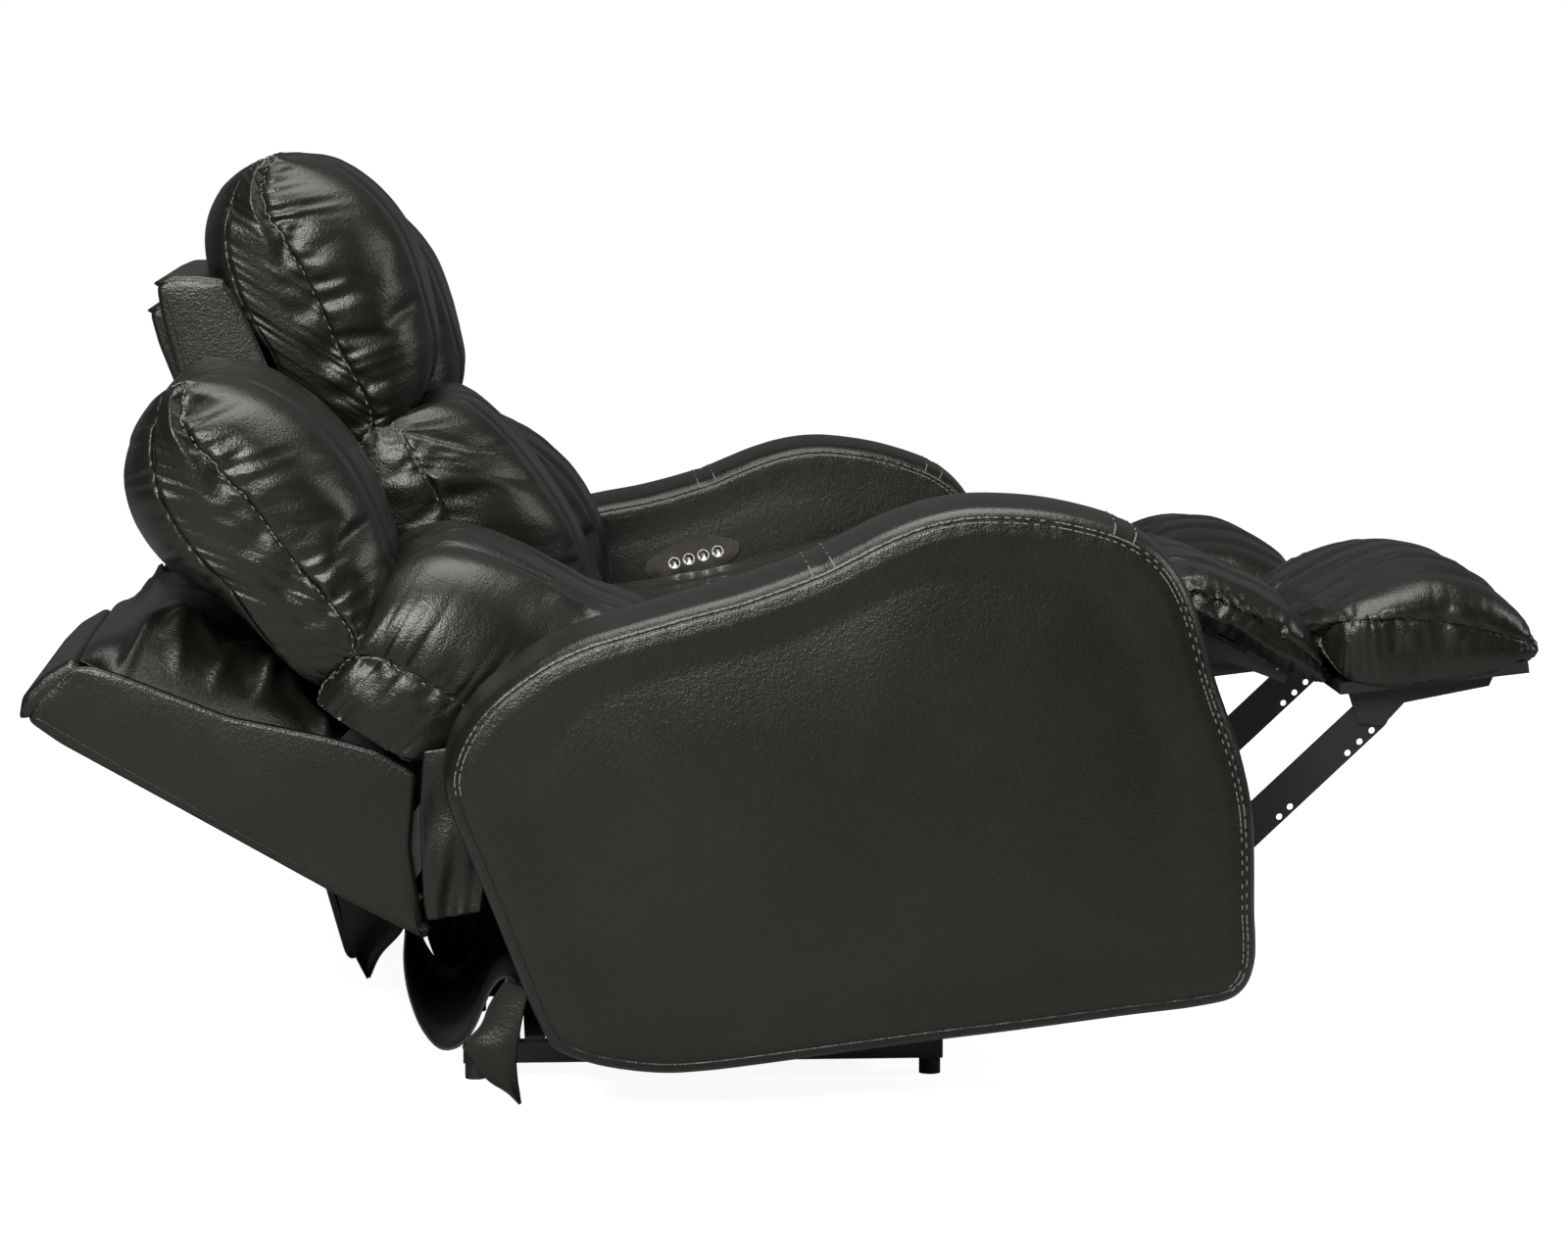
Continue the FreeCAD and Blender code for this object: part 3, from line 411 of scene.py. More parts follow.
def arm_rings(outline):
    """Ring k of the arm: the side outline moved in along its own normal and set at its x, then mirrored."""
    inward = inward_of(outline)
    inner = outline + inward * ARM_TURN[0][0]
    rings = [ARM_MIDDLE + (inner - ARM_MIDDLE) * share for share, _ in ARM_PANEL]
    rings += [outline + inward * inset for inset, _ in ARM_TURN]
    places = [ARM_HALF - PANEL_SET + bulge for _, bulge in ARM_PANEL]
    places += [ARM_HALF - TURN_SET + height for _, height in ARM_TURN]
    lift = np.clip(-inward[:, 1], 0.25, 1.0)
    for x in np.linspace(BAND_FIRST, 0, 8):
        crown = BAND_CROWN * (1 - (x / BAND_HALF) ** 2) * lift + 0.4
        rings.append(outline - inward * crown[:, None])
        places.append(x)
    rings += rings[-2::-1]
    places += [-min(x, INNER_FLAT) for x in places[-2::-1]]
    grid = np.empty((len(rings), len(outline), 3))
    grid[:, :, 0] = np.array(places)[:, None]
    grid[:, :, 1:] = rings
    return grid


def nearest(outline, spot):
    """Index of the outline's point nearest to a spot."""
    return np.argmin(np.linalg.norm(outline - spot, axis=1))


outline = through(ARM_EDGE, 10)
outline = evenly(np.vstack([outline, outline[:1]]), ARM_POINTS + 1)[:-1]
outline = np.roll(outline, -np.argmin(outline[:, 0]), axis=0)
for side, sign in (("left", -1), ("right", 1)):
    grid = arm_rings(outline)
    rings, around = grid.shape[:2]
    gap = np.min([np.abs(np.arange(rings) - seam) for seam in (ARM_SEAM, rings - 1 - ARM_SEAM)], axis=0)
    pucker = rough_lines(11 + sign, around, (37, 53, 71, 90))
    slow = rough_lines(3 + sign, around, (2, 3, 5, 8))
    swing = np.sin(np.linspace(0, 3 * np.pi, rings)) * (gap > 5)
    lumps = 0.5 * np.exp(-(gap / 4.0) ** 2)[:, None] * pucker + 1.1 * swing[:, None] * slow
    for u, v in CROSS_SEAMS:
        off = np.hypot(outline[:, 0] - u, outline[:, 1] - v)
        lumps[ARM_SEAM + 1:rings - 1 - ARM_SEAM] -= 1.6 * np.exp(-(off / 2.6) ** 2)
    grid = (grid + normals_of(grid) * lumps[..., None]) * (sign, 1, 1) + (sign * ARM_X, 0, 0)
    world = stand(grid, side, "seat")
    arm = leather_piece(side + "_arm_cover", world, side + "_seat")
    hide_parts(side + "_arm")
    # The rows run from the front lower corner up over the arm and stop above the panel's rear corner.
    normal = normals_of(world)
    walk = np.roll(np.arange(around), -nearest(outline, (825, 55)))
    if outline[walk[20], 1] < outline[walk[0], 1] + 10:
        walk = np.roll(walk[::-1], 1)
    walk = walk[:nearest(outline[walk], (-60, 345))]
    beside = [ARM_SEAM - 2, ARM_SEAM + 2]
    rows = [(world[row, walk], normal[row, walk]) for row in beside + [rings - 1 - row for row in beside]]
    band = slice(ARM_SEAM + 3, rings - 3 - ARM_SEAM)
    for spot in CROSS_SEAMS:
        for step in (-2, 2):
            at = nearest(outline, spot) + step
            rows.append((world[band, at], normal[band, at]))
    stitches(side + "_arm_stitching", rows, side + "_seat")

# Padded pieces: fibre-filled leather cushions. Each has a front and a rear panel and a narrow side
# panel at both ends, joined by seams that gather the leather, and sewn channels down the front.
# Keys run from the lower tip up the front to the upper tip and down the rear, as
# (u, v) in the middle, (u, v) of the side seam, and half the width there.
SIDE_SHARES = (0.1, 0.3, 0.5, 0.64, 0.74, 0.82, 0.88, 0.93, 0.965, 0.988)
TURN = np.array([0.0, 0.02, 0.05, 0.09, 0.14, 0.2, 0.28, 0.38, 0.5, 0.64, 0.8, 0.98, 1.18, 1.38, 1.57])
SEAM_ROW = len(SIDE_SHARES)
LOOP_STEPS, ACROSS = 8, 22      # points on each run between keys, and rings across half the flat front
CHANNEL = 15.0                  # half the width of a sewn channel
PUCKER_REACH = 34.0             # how far the puckers run from a seam
SIDE_REACH = 0.65               # the share of that on the side panel
PUCKER_WAVES, DRIFT_WAVES, FOLD_WAVES = (17, 25, 37), (5, 9, 14), (5, 8)
SEAM_DEEP = 2.6
CLOTH_FRAMES = 20               # steps of the cloth simulation


def pad_rings(keys, round_at, edge, bulge):
    """Side view blended from the seam's to the middle's: a quarter circle, then a shallow parabola."""
    loop = through(keys, LOOP_STEPS)
    count = len(loop)
    centre, seam, half = loop[:, :2], loop[:, 2:4], loop[:, 4:5]
    walk = np.arange(count)
    trim = max(2, count // 24)
    inner = np.clip(np.minimum(walk, count - walk), trim, count // 2 - trim)
    spine = (seam[inner] + seam[-inner]) / 2
    rings = []
    for share in SIDE_SHARES:
        x = half[inner] + share * (half - half[inner]) + bulge * (1 - share ** 2)
        rings.append(np.hstack([x, spine + share * (seam - spine)]))
    for turn in TURN:
        x = half - round_at * (1 - np.cos(turn))
        share = edge * np.sin(turn) + (1 - edge) * (1 - (x / half) ** 2)
        rings.append(np.hstack([x, seam + share * (centre - seam)]))
    for step in np.linspace(1, 0, ACROSS)[1:]:
        x = (half - round_at) * step
        share = edge + (1 - edge) * (1 - (x / half) ** 2)
        rings.append(np.hstack([x, seam + share * (centre - seam)]))
    grid = np.array(rings)
    return np.concatenate([grid, grid[-2::-1] * (-1, 1, 1)])


def sewn(grid, lobes, dip, window):
    """Channels: a valley between lobes follows exp(-(distance/width)^2) and fades where the window closes."""
    x = grid[:, :, 0]
    reach = np.abs(x).max()
    valley = np.zeros_like(x)
    for k in range(1, lobes):
        valley += np.exp(-((x - reach * (2 * k / lobes - 1)) / CHANNEL) ** 2)
    return -dip * valley * window


def gathers(grid, seed, height):
    """Puckers beside both side seams: a seeded wavering sharpened to ridges, shorter on the side panel."""
    rows, around = grid.shape[:2]
    place = np.cumsum(np.linalg.norm(np.diff(grid, axis=0, prepend=grid[:1]), axis=-1).mean(axis=1))
    total = np.zeros((rows, around))
    for number, seam in enumerate((SEAM_ROW, rows - 1 - SEAM_ROW)):
        gap = np.abs(place - place[seam])[:, None]
        ridge = 1 - np.abs(rough_lines(seed + number, around, PUCKER_WAVES)) * 1.3
        drift = rough_lines(seed + 7 + number, around, DRIFT_WAVES)
        on_side = np.arange(rows) < seam if number == 0 else np.arange(rows) > seam
        fade = gap / (PUCKER_REACH * (1.0 + 0.45 * drift) * np.where(on_side, SIDE_REACH, 1.0)[:, None])
        total += height * ridge * np.exp(-np.abs(fade) ** 1.3) * np.clip(gap / 4.0, 0.15, 1)
    return total


def long_folds(grid, seed, height):
    """Long soft folds in the filled front: sines across the width whose phase drifts along the panel."""
    draw = np.random.default_rng(seed)
    x = grid[:, :, 0] / np.abs(grid[:, :, 0]).max()
    up = np.arange(grid.shape[1]) / grid.shape[1]
    total = np.zeros(x.shape)
    for wave in FOLD_WAVES:
        phase = draw.random() + 0.4 * np.sin(2 * np.pi * (up * 2.0 + draw.random()))
        total += (1 - np.abs(np.sin(np.pi * (wave * x / 2 + phase)))) ** 2 * draw.uniform(0.5, 1.0)
    return height * (total / len(FOLD_WAVES) - 0.4)


def swollen(name, grid, pinned, pressure, cap):
    """Blender's cloth blown up from inside with its seams held; each point moves no further than the cap."""
    trial = closed_mesh(name + "_trial", grid / 1000, leather)
    held = trial.vertex_groups.new(name="held")
    held.add(np.flatnonzero(pinned).tolist(), 1.0, "REPLACE")
    cloth = trial.modifiers.new("cloth", "CLOTH")
    settings = cloth.settings
    settings.quality = 6
    settings.mass = 0.25
    settings.tension_stiffness = settings.compression_stiffness = 12
    settings.shear_stiffness = 5
    settings.bending_stiffness = 0.4
    settings.shrink_min = settings.shrink_max = -0.03
    settings.use_pressure = True
    settings.uniform_pressure_force = pressure
    settings.vertex_group_mass = "held"
    settings.effector_weights.gravity = 0
    cloth.collision_settings.use_collision = False
    for step in range(CLOTH_FRAMES):
        bpy.context.scene.frame_set(step + 1)
    blown = trial.evaluated_get(bpy.context.evaluated_depsgraph_get()).to_mesh()
    points = np.empty(len(blown.vertices) * 3)
    blown.vertices.foreach_get("co", points)
    bpy.context.scene.frame_set(1)
    bpy.data.objects.remove(trial)
    move = points.reshape(grid.shape) * 1000 - grid
    size = np.maximum(np.linalg.norm(move, axis=-1, keepdims=True), 1e-6)
    return grid + move * np.minimum(1, cap / size)


def finished_pad(name, keys, seed, round_at=78.0, edge=0.84, bulge=9.0, front=(0.03, 0.58), lobes=4, dip=9.0,
                 pucker=4.2, folds=4.0, pressure=4.0, cap=10.0):
    """Blown up, then sewn: channels, puckers at the side seams and long folds pushed along the normals.

    The front is the filled panel, as shares of the loop of keys; the rest is held and stays plain.
    """
    grid = pad_rings(keys, round_at, edge, bulge)
    rows, around = grid.shape[:2]
    seams = [SEAM_ROW, rows - 1 - SEAM_ROW]
    walk = np.arange(around) / around
    window = np.clip((walk - front[0]) / 0.05, 0, 1) * np.clip((front[1] - walk) / 0.05, 0, 1)
    held = np.zeros((rows, around), bool)
    held[seams] = True
    held[:, (walk > front[1] + 0.04) | (walk < front[0] - 0.01)] = True
    grid = swollen(name, grid, held, pressure, cap)
    push = sewn(grid, lobes, dip, window) + gathers(grid, seed, pucker)
    push += long_folds(grid, seed + 3, folds) * window
    push[seams] -= SEAM_DEEP
    return grid + normals_of(grid) * push[..., None]


def set_pad(name, seat, part, grid, node, stitched=None, body=None, detail=0):
    """Stitches run beside both side seams, stitched = (rings from the seam, first and last share of the loop).
    """
    world = stand(grid, seat, part)
    body = "root" if seat == "middle" else seat + "_" + (body or part)
    pad = leather_piece(seat + "_" + name, world, body)
    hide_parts(seat + "_" + node)
    if detail:
        soft = pad.modifiers.new("soft", "SUBSURF")
        soft.levels = soft.render_levels = detail
    if stitched:
        rings, around = world.shape[:2]
        row = SEAM_ROW + stitched[0]
        span = slice(int(stitched[1] * around), int(stitched[2] * around))
        normal = normals_of(world)
        rows = [(world[k, span], normal[k, span]) for k in (row, rings - 1 - row)]
        stitches(seat + "_" + name + "_stitching", rows, body)


# Head pillows: the thickest cushions, soft fibre in leather on the headrest brackets. The near one is tipped,
# and the far one has slipped on its bracket.
PILLOW_SEAM = [(-140, 706, 236), (-121, 720, 248), (-104, 738, 262), (-96, 762, 270), (-114, 806, 276),
               (-141, 858, 280), (-172, 928, 284), (-206, 988, 284), (-230, 1026, 280), (-238, 1058, 268),
               (-228, 1096, 250), (-250, 1088, 254), (-266, 1062, 266), (-277, 1030, 276), (-281, 987, 282),
               (-270, 938, 284), (-250, 892, 284), (-224, 848, 280), (-205, 800, 274), (-178, 744, 260)]
PILLOW = [(-146, 708), (-92, 728), (-51, 757), (-28, 797), (-20, 843), (-27, 893), (-43, 955), (-62, 1003),
          (-97, 1048), (-140, 1079), (-192, 1096), (-240, 1092), (-283, 1070), (-308, 1036), (-318, 992),
          (-310, 938), (-285, 890), (-238, 850), (-212, 800), (-188, 748)]
TIPPED_PILLOW = [(-148, 702), (-104, 714), (-64, 737), (-48, 784), (-40, 838), (-44, 888), (-60, 950),
                 (-84, 1000), (-118, 1042), (-160, 1074), (-214, 1096), (-262, 1085), (-300, 1052),
                 (-322, 1018), (-331, 982), (-326, 935), (-300, 882), (-252, 834), (-214, 790), (-186, 744)]


def turned(grid, about, degrees, shift):
    """A pad turned in side view about a point and moved, as it has slipped on its bracket."""
    turn = np.radians(degrees)
    u, v = grid[..., 1] - about[0], grid[..., 2] - about[1]
    return np.stack([grid[..., 0], about[0] + shift[0] + u * np.cos(turn) - v * np.sin(turn),
                     about[1] + shift[1] + u * np.sin(turn) + v * np.cos(turn)], axis=-1)


pillow = finished_pad("pillow", np.hstack([PILLOW, PILLOW_SEAM]), 21)
tipped = finished_pad("tipped_pillow", np.hstack([TIPPED_PILLOW, PILLOW_SEAM]), 26)
slipped = turned(pillow, (-40, 880), 11.0, (11, -8))
for seat, part, grid in (("left", "head", tipped), ("middle", "seat", pillow), ("right", "head", slipped)):
    set_pad("head_cushion", seat, part, grid, "head_pillow", stitched=(-3, 0.04, 0.54), detail=1)

# Lower back cushions: one long bolster across each back. The near one is pressed down by its pillow,
# the middle one stands tall, and the far one is full.
LUMBAR_SEAM = [(170, 450, 240), (148, 468, 250), (112, 500, 262), (58, 530, 262), (8, 566, 274),
               (-8, 612, 281), (-22, 660, 281), (-34, 694, 274), (-58, 712, 264), (-92, 714, 254),
               (-120, 706, 258), (-122, 690, 268), (-116, 655, 278), (-106, 615, 281), (-94, 580, 278),
               (-68, 556, 262), (14, 524, 262), (94, 490, 254)]
TALL_SEAM = LUMBAR_SEAM[:5] + [(-6, 642, 281), (-34, 696, 281), (-52, 726, 276), (-66, 747, 266),
                               (-86, 757, 256), (-108, 744, 262), (-118, 712, 270)] + LUMBAR_SEAM[12:]
LUMBAR_REAR = [(-56, 718), (-78, 690), (-90, 655), (-96, 618), (-92, 583), (-60, 556), (14, 522), (104, 482)]
LOADED = [(188, 438), (216, 452), (202, 500), (184, 545), (171, 592), (156, 640), (134, 690), (104, 728),
          (58, 750), (-6, 744)]
TALL = [(188, 430), (216, 446), (206, 500), (188, 545), (172, 588), (152, 626), (118, 676), (84, 720),
        (42, 762), (-4, 788)]
FULL = [(188, 430), (224, 446), (226, 500), (222, 545), (208, 588), (186, 628), (150, 670), (114, 697),
        (70, 716), (14, 728)]
for seat, part, face, seam, seed in (("left", "back", LOADED, LUMBAR_SEAM, 41),
                                     ("middle", "seat", TALL, TALL_SEAM, 43),
                                     ("right", "back", FULL, LUMBAR_SEAM, 47)):
    rear = LUMBAR_REAR if seat != "middle" else [(-44, 772), (-70, 735)] + LUMBAR_REAR[2:]
    lumbar = finished_pad(seat + "_lumbar", np.hstack([face + rear, seam]), seed, round_at=70.0, bulge=4.0,
                          front=(0.0, 0.55), dip=8.0, pucker=4.0, cap=8.0)
    set_pad("lower_back_cushion", seat, part, lumbar, "lumbar_cushion", stitched=(-3, 0.1, 0.55))

# Seat cushions: foam under fibre in a sewn leather cover, with a rounded front nose. They lie on the springs
# and rise a little towards the front.
CUSHION = [(102, 368, 104, 368, 240), (114, 396, 116, 384, 250), (160, 422, 162, 392, 260),
           (230, 434, 230, 400, 262), (300, 440, 300, 412, 276), (400, 457, 400, 428, 282),
           (520, 488, 520, 444, 282), (630, 520, 630, 462, 282), (712, 542, 706, 474, 280),
           (762, 548, 742, 470, 272), (786, 512, 756, 452, 268), (782, 462, 746, 432, 270),
           (752, 410, 726, 402, 274), (716, 376, 700, 378, 278), (640, 363, 640, 366, 278),
           (520, 353, 520, 356, 278), (400, 342, 400, 346, 272), (300, 334, 300, 338, 262)]
cushion = finished_pad("cushion", CUSHION, 61, round_at=60.0, edge=0.9, bulge=3.0, front=(0.03, 0.6), lobes=3,
                       dip=5.0, pucker=3.0, folds=2.5, pressure=3.0, cap=5.0)
for seat in ("left", "middle", "right"):
    set_pad("seat_pad", seat, "seat", cushion, "seat_cushion", stitched=(3, 0.3, 0.64))

# Footrest pads: thick pads on the footrest board, sewn into lengthways ribs, with a piped front edge,
# and a smaller middle pad between seat and footrest.
FOOT_SEAM = [(1000, 426, 244), (1004, 440, 256), (1012, 448, 266), (1026, 451, 276), (1048, 451, 282),
             (1082, 448, 282), (1128, 442, 282), (1174, 431, 282), (1212, 417, 276), (1238, 407, 268),
             (1252, 394, 262), (1240, 384, 266), (1216, 378, 274), (1168, 374, 280), (1120, 371, 282),
             (1082, 370, 282), (1048, 372, 280), (1018, 382, 276), (1006, 398, 268), (1000, 412, 256)]
FOOT_UNDER = [(1252, 384), (1222, 375), (1170, 372), (1120, 369), (1082, 369), (1052, 372), (1020, 386),
              (996, 408), (980, 430)]
FOOT_TOP = [(976, 438), (982, 446), (996, 454), (1020, 464), (1054, 480), (1096, 496), (1140, 502),
            (1186, 490), (1222, 467), (1246, 439), (1260, 407)]
PLUMP_TOP = [(960, 450), (968, 474), (986, 502), (1016, 528), (1056, 543), (1098, 547), (1142, 541),
             (1186, 520), (1222, 493), (1246, 455), (1260, 410)]
BRIDGE = [(790, 488, 796, 490, 240), (792, 508, 800, 502, 250), (804, 522, 812, 506, 258),
          (828, 530, 832, 502, 262), (868, 522, 866, 490, 268), (909, 502, 902, 470, 272),
          (954, 478, 940, 442, 270), (982, 452, 970, 418, 262), (1002, 422, 990, 398, 254),
          (1012, 394, 1000, 384, 248), (1000, 376, 990, 376, 250), (966, 386, 960, 388, 252),
          (930, 404, 928, 408, 258), (888, 432, 888, 436, 262), (850, 456, 850, 458, 264),
          (818, 470, 820, 472, 262), (804, 476, 808, 480, 256), (794, 482, 800, 484, 248)]
RIBBED = {"round_at": 46.0, "edge": 0.66, "bulge": 4.0, "front": (0.02, 0.48), "dip": 6.0, "pucker": 2.4,
          "folds": 3.0}
for seat, top, seed in (("left", FOOT_TOP, 71), ("right", PLUMP_TOP, 76)):
    keys = np.hstack([top + FOOT_UNDER, FOOT_SEAM])
    ribbed = finished_pad(seat + "_foot", keys, seed, lobes=6, cap=6.0, **RIBBED)
    set_pad("footrest_pad", seat, "seat", ribbed, "foot_pad", body="foot")
bridge = finished_pad("bridge", BRIDGE, 81, cap=5.0, **RIBBED)
for seat in ("left", "right"):
    set_pad("bridge_pad", seat, "seat", bridge, "mid_pad", body="mid")

# Back covers: a box of board covered in leather, open at the front, with soft rounded edges.
# Leather is drawn from its front edges in behind the pillow as a lining, and creases there.
SIDE_PANEL = [(-236, 416), (-168, 507), (-100, 563), (-113, 618), (-147, 679), (-205, 770), (-253, 885),
              (-270, 922), (-290, 943), (-352, 945), (-373, 936), (-366, 890), (-324, 734), (-271, 534)]
REAR_LOW, REAR_HIGH = (-236, 416), (-373, 936)
SKIRT_TIP = (-137, 50)
REAR_THICK = 18.0
BACK_HALF = 284.0               # half the width of the rear and top panels
SIDE_IN, SIDE_OUT = 267.0, 286.0    # the faces of the side panels
LINER_HALF = 276.0
LINER_ROWS, LINER_COLUMNS = 90, 110
LEATHER_THICK = 0.0018
LINER_LINE = [(-279, 941), (-283, 926), (-287, 902), (-264, 862), (-240, 802), (-210, 738), (-180, 672),
              (-150, 600), (-172, 530)]
LINER_EDGE = [(-279, 941), (-272, 924), (-256, 880), (-233, 826), (-209, 768), (-178, 716), (-152, 674),
              (-124, 600), (-150, 530)]
LINER_FULL = [(-279, 941), (-262, 944), (-224, 928), (-187, 922), (-162, 884), (-148, 815), (-138, 740),
              (-138, 640), (-160, 540)]


def softened(corners, count, passes):
    """A polygon walked in even steps, its corners rounded by passes of averaging with the neighbours."""
    line = evenly(np.vstack([corners, corners[:1]]), count + 1)[:-1]
    for _ in range(passes):
        line = (np.roll(line, 1, 0) + 2 * line + np.roll(line, -1, 0)) / 4
    return line


def slab_rings(outline, low, high, soft, puff):
    """Board in leather from x = low to high: the outline drawn in by soft(1-sin) at both bulging faces."""
    inward = inward_of(outline)
    count = len(outline)
    walk = np.arange(count)
    inner = np.clip(np.minimum(walk, count - walk), 3, count // 2 - 3)
    spine = (outline[inner] + outline[-inner]) / 2
    drawn = outline + inward * soft
    rings, places = [], []
    for share in (0.15, 0.4, 0.65, 0.85, 0.95):
        rings.append(spine + share * (drawn - spine))
        places.append(high + puff * (1 - share ** 3))
    for turn in np.linspace(0, np.pi / 2, 6):
        rings.append(outline + inward * soft * (1 - np.sin(turn)))
        places.append(high - soft * (1 - np.cos(turn)))
    middle = (low + high) / 2
    for step in np.linspace(1, 0, max(1, int((high - low) / 40)) + 1)[1:]:
        rings.append(outline)
        places.append(middle + (high - soft - middle) * step)
    full = np.array(rings + rings[-2::-1])
    xs = np.array(places + [2 * middle - x for x in places[-2::-1]])
    return np.concatenate([np.broadcast_to(xs[:, None, None], full.shape[:2] + (1,)), full], axis=-1)


def strip(low, high, thick, bow):
    """Outline of a thin panel between two points, thick towards the front, bowed out to the rear."""
    low, high = np.array(low, float), np.array(high, float)
    along = (high - low) / np.linalg.norm(high - low)
    across = np.array([along[1], -along[0]])
    share = np.linspace(0, 1, 14)[:, None]
    rear = low + (high - low) * share - across * bow * np.sin(np.pi * share)
    front = rear + across * thick
    return np.vstack([front, rear[::-1]])


def open_sheet(name, grid, body, material=leather, thick=LEATHER_THICK):
    """A single sheet over a grid of points, given its thickness by Solidify, on its body."""
    rows, columns = grid.shape[:2]
    index = np.arange(rows * columns).reshape(rows, columns)
    faces = np.stack([index[:-1, :-1], index[:-1, 1:], index[1:, 1:], index[1:, :-1]], -1).reshape(-1, 4)
    mesh = bpy.data.meshes.new(name)
    mesh.from_pydata(grid.reshape(-1, 3).tolist(), [], faces.tolist())
    mesh.polygons.foreach_set("use_smooth", np.ones(len(faces), bool))
    mesh.materials.append(material)
    piece = bpy.data.objects.new(name, mesh)
    bpy.context.collection.objects.link(piece)
    wall = piece.modifiers.new("thickness", "SOLIDIFY")
    wall.thickness = thick
    wall.offset = 0
    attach(piece, body)
    return piece


def creased(rows, columns, height):
    """Creases of drawn leather: ridges that fan out from seeded points, narrow at the start and fading."""
    draw = np.random.default_rng(31)
    down, over = np.meshgrid(np.linspace(0, 1, rows), np.linspace(-1, 1, columns), indexing="ij")
    total = np.zeros((rows, columns))
    for _ in range(34):
        side = draw.choice([-1, 1])
        start = np.array([draw.uniform(0.05, 0.75), side * draw.uniform(0.8, 1.0)])
        slope = draw.uniform(-0.35, 0.5)
        reach = draw.uniform(0.25, 0.7)
        run = (start[1] - over) * side
        off = down - start[0] - slope * run
        width = 0.018 + 0.035 * np.clip(run, 0, 1)
        total += np.exp(-(off / width) ** 2) * np.clip(run / 0.08, 0, 1) * np.exp(-(run / reach) ** 2) \
            * draw.uniform(0.5, 1.0) * (run > 0)
    return total * height


def lining_grid(rows, columns, near):
    """The lining's line across the back, creased; the near one is drawn forwards away from its side edges."""
    line, bound, full = (evenly(through(keys, 12, closed=False), rows)
                         for keys in (LINER_LINE, LINER_EDGE, LINER_FULL))
    along = np.gradient(line, axis=0)
    forwards = unit(np.stack([-along[:, 1], along[:, 0]], axis=1))
    across = np.linspace(-LINER_HALF, LINER_HALF, columns)
    edge = 1 - np.abs(across / LINER_HALF)
    push = creased(rows, columns, 15.0 if near else 11.0) - 4
    if near:
        share = (1 - np.exp(-(edge / np.where(across < 0, 0.16, 0.06)) ** 1.5))[:, None]
        line = bound[:, None] + (full - bound)[:, None] * share
    else:
        hollow = np.sin(np.pi * np.linspace(0, 1, rows))[:, None] * (1 - np.exp(-edge / 0.2))
        push += 12 * np.exp(-edge / 0.05) - 10 * hollow
        line = line[:, None]
    push *= np.minimum(np.arange(rows) / 6, 1)[:, None]
    grid = np.empty((rows, columns, 3))
    grid[:, :, 0] = across
    grid[:, :, 1:] = line + forwards[:, None] * push[..., None]
    return grid


for seat, part in (("left", "back"), ("middle", "seat"), ("right", "back")):
    body = "root" if seat == "middle" else seat + "_back"
    rear = strip(SKIRT_TIP if seat == "middle" else REAR_LOW, REAR_HIGH, REAR_THICK, 4)
    crown = 6 if seat == "left" else 0      # the reclined back's top is fuller
    top = np.array([(-281, 926), (-284, 944), (-320, 948), (-356, 948), (-379, 938), (-352, 924)])
    top[:, 1] += crown * np.array([0, 1, 2, 2, 1, 0])
    side_panel = softened(SIDE_PANEL, 260, 3)
    for name, grid in (("rear_panel", slab_rings(softened(rear, 240, 3), -BACK_HALF, BACK_HALF, 7, 3)),
                       ("top_panel", slab_rings(softened(top, 60, 2), -BACK_HALF, BACK_HALF, 7, 1)),
                       ("left_panel", slab_rings(side_panel, -SIDE_OUT, -SIDE_IN, 6, 1.5)),
                       ("right_panel", slab_rings(side_panel, SIDE_IN, SIDE_OUT, 6, 1.5))):
        piece = leather_piece(seat + "_back_" + name, stand(grid, seat, part), body)
        if name == "rear_panel":
            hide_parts(seat + "_back_shell")
    lining = lining_grid(LINER_ROWS, LINER_COLUMNS, seat == "left")
    liner = open_sheet(seat + "_back_lining", stand(lining, seat, part), body)
    if seat != "middle":
        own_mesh(liner)

# Middle front: a leather-covered board in front of the fixed seat's box, from under the cushion almost
# to the floor.
FRONT_BOARD = [(664, 47), (680, 45), (690, 110), (696, 240), (691, 356), (664, 358)]
front_board = slab_rings(softened(FRONT_BOARD, 160, 3), -285, 285, 7, 2)
board = leather_piece("middle_front_board", stand(front_board, "middle", "seat"), "root")
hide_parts("middle_front_panel")

# Dust cloths: black cloth-backed leather from under each recliner's seat box to its back, tacked along both
# ends and slack in one deep fold and a wave.
lining_cloth = finish_material("lining_cloth", (0.035, 0.035, 0.034), (0.016, 0.016, 0.0155), 0.62,
                               grain=1400, bump=0.00012, patch=14)
CURTAIN = [(-127, 168), (-131, 140), (-131, 112), (-127, 84), (-118, 54), (-103, 30), (-88, 23), (-70, 29),
           (-54, 48), (-41, 73), (-30, 92), (-18, 103), (-6, 102), (6, 86), (18, 84), (36, 118), (52, 172),
           (58, 232)]
CLOTH_THICK = 0.0022
CLOTH_HALF, CLOTH_ROWS, CLOTH_COLUMNS = 278.0, 120, 90
curtain_line = evenly(through(CURTAIN, 12, closed=False), CLOTH_ROWS)
across, share = np.linspace(-CLOTH_HALF, CLOTH_HALF, CLOTH_COLUMNS), np.linspace(0, 1, CLOTH_ROWS)[:, None]
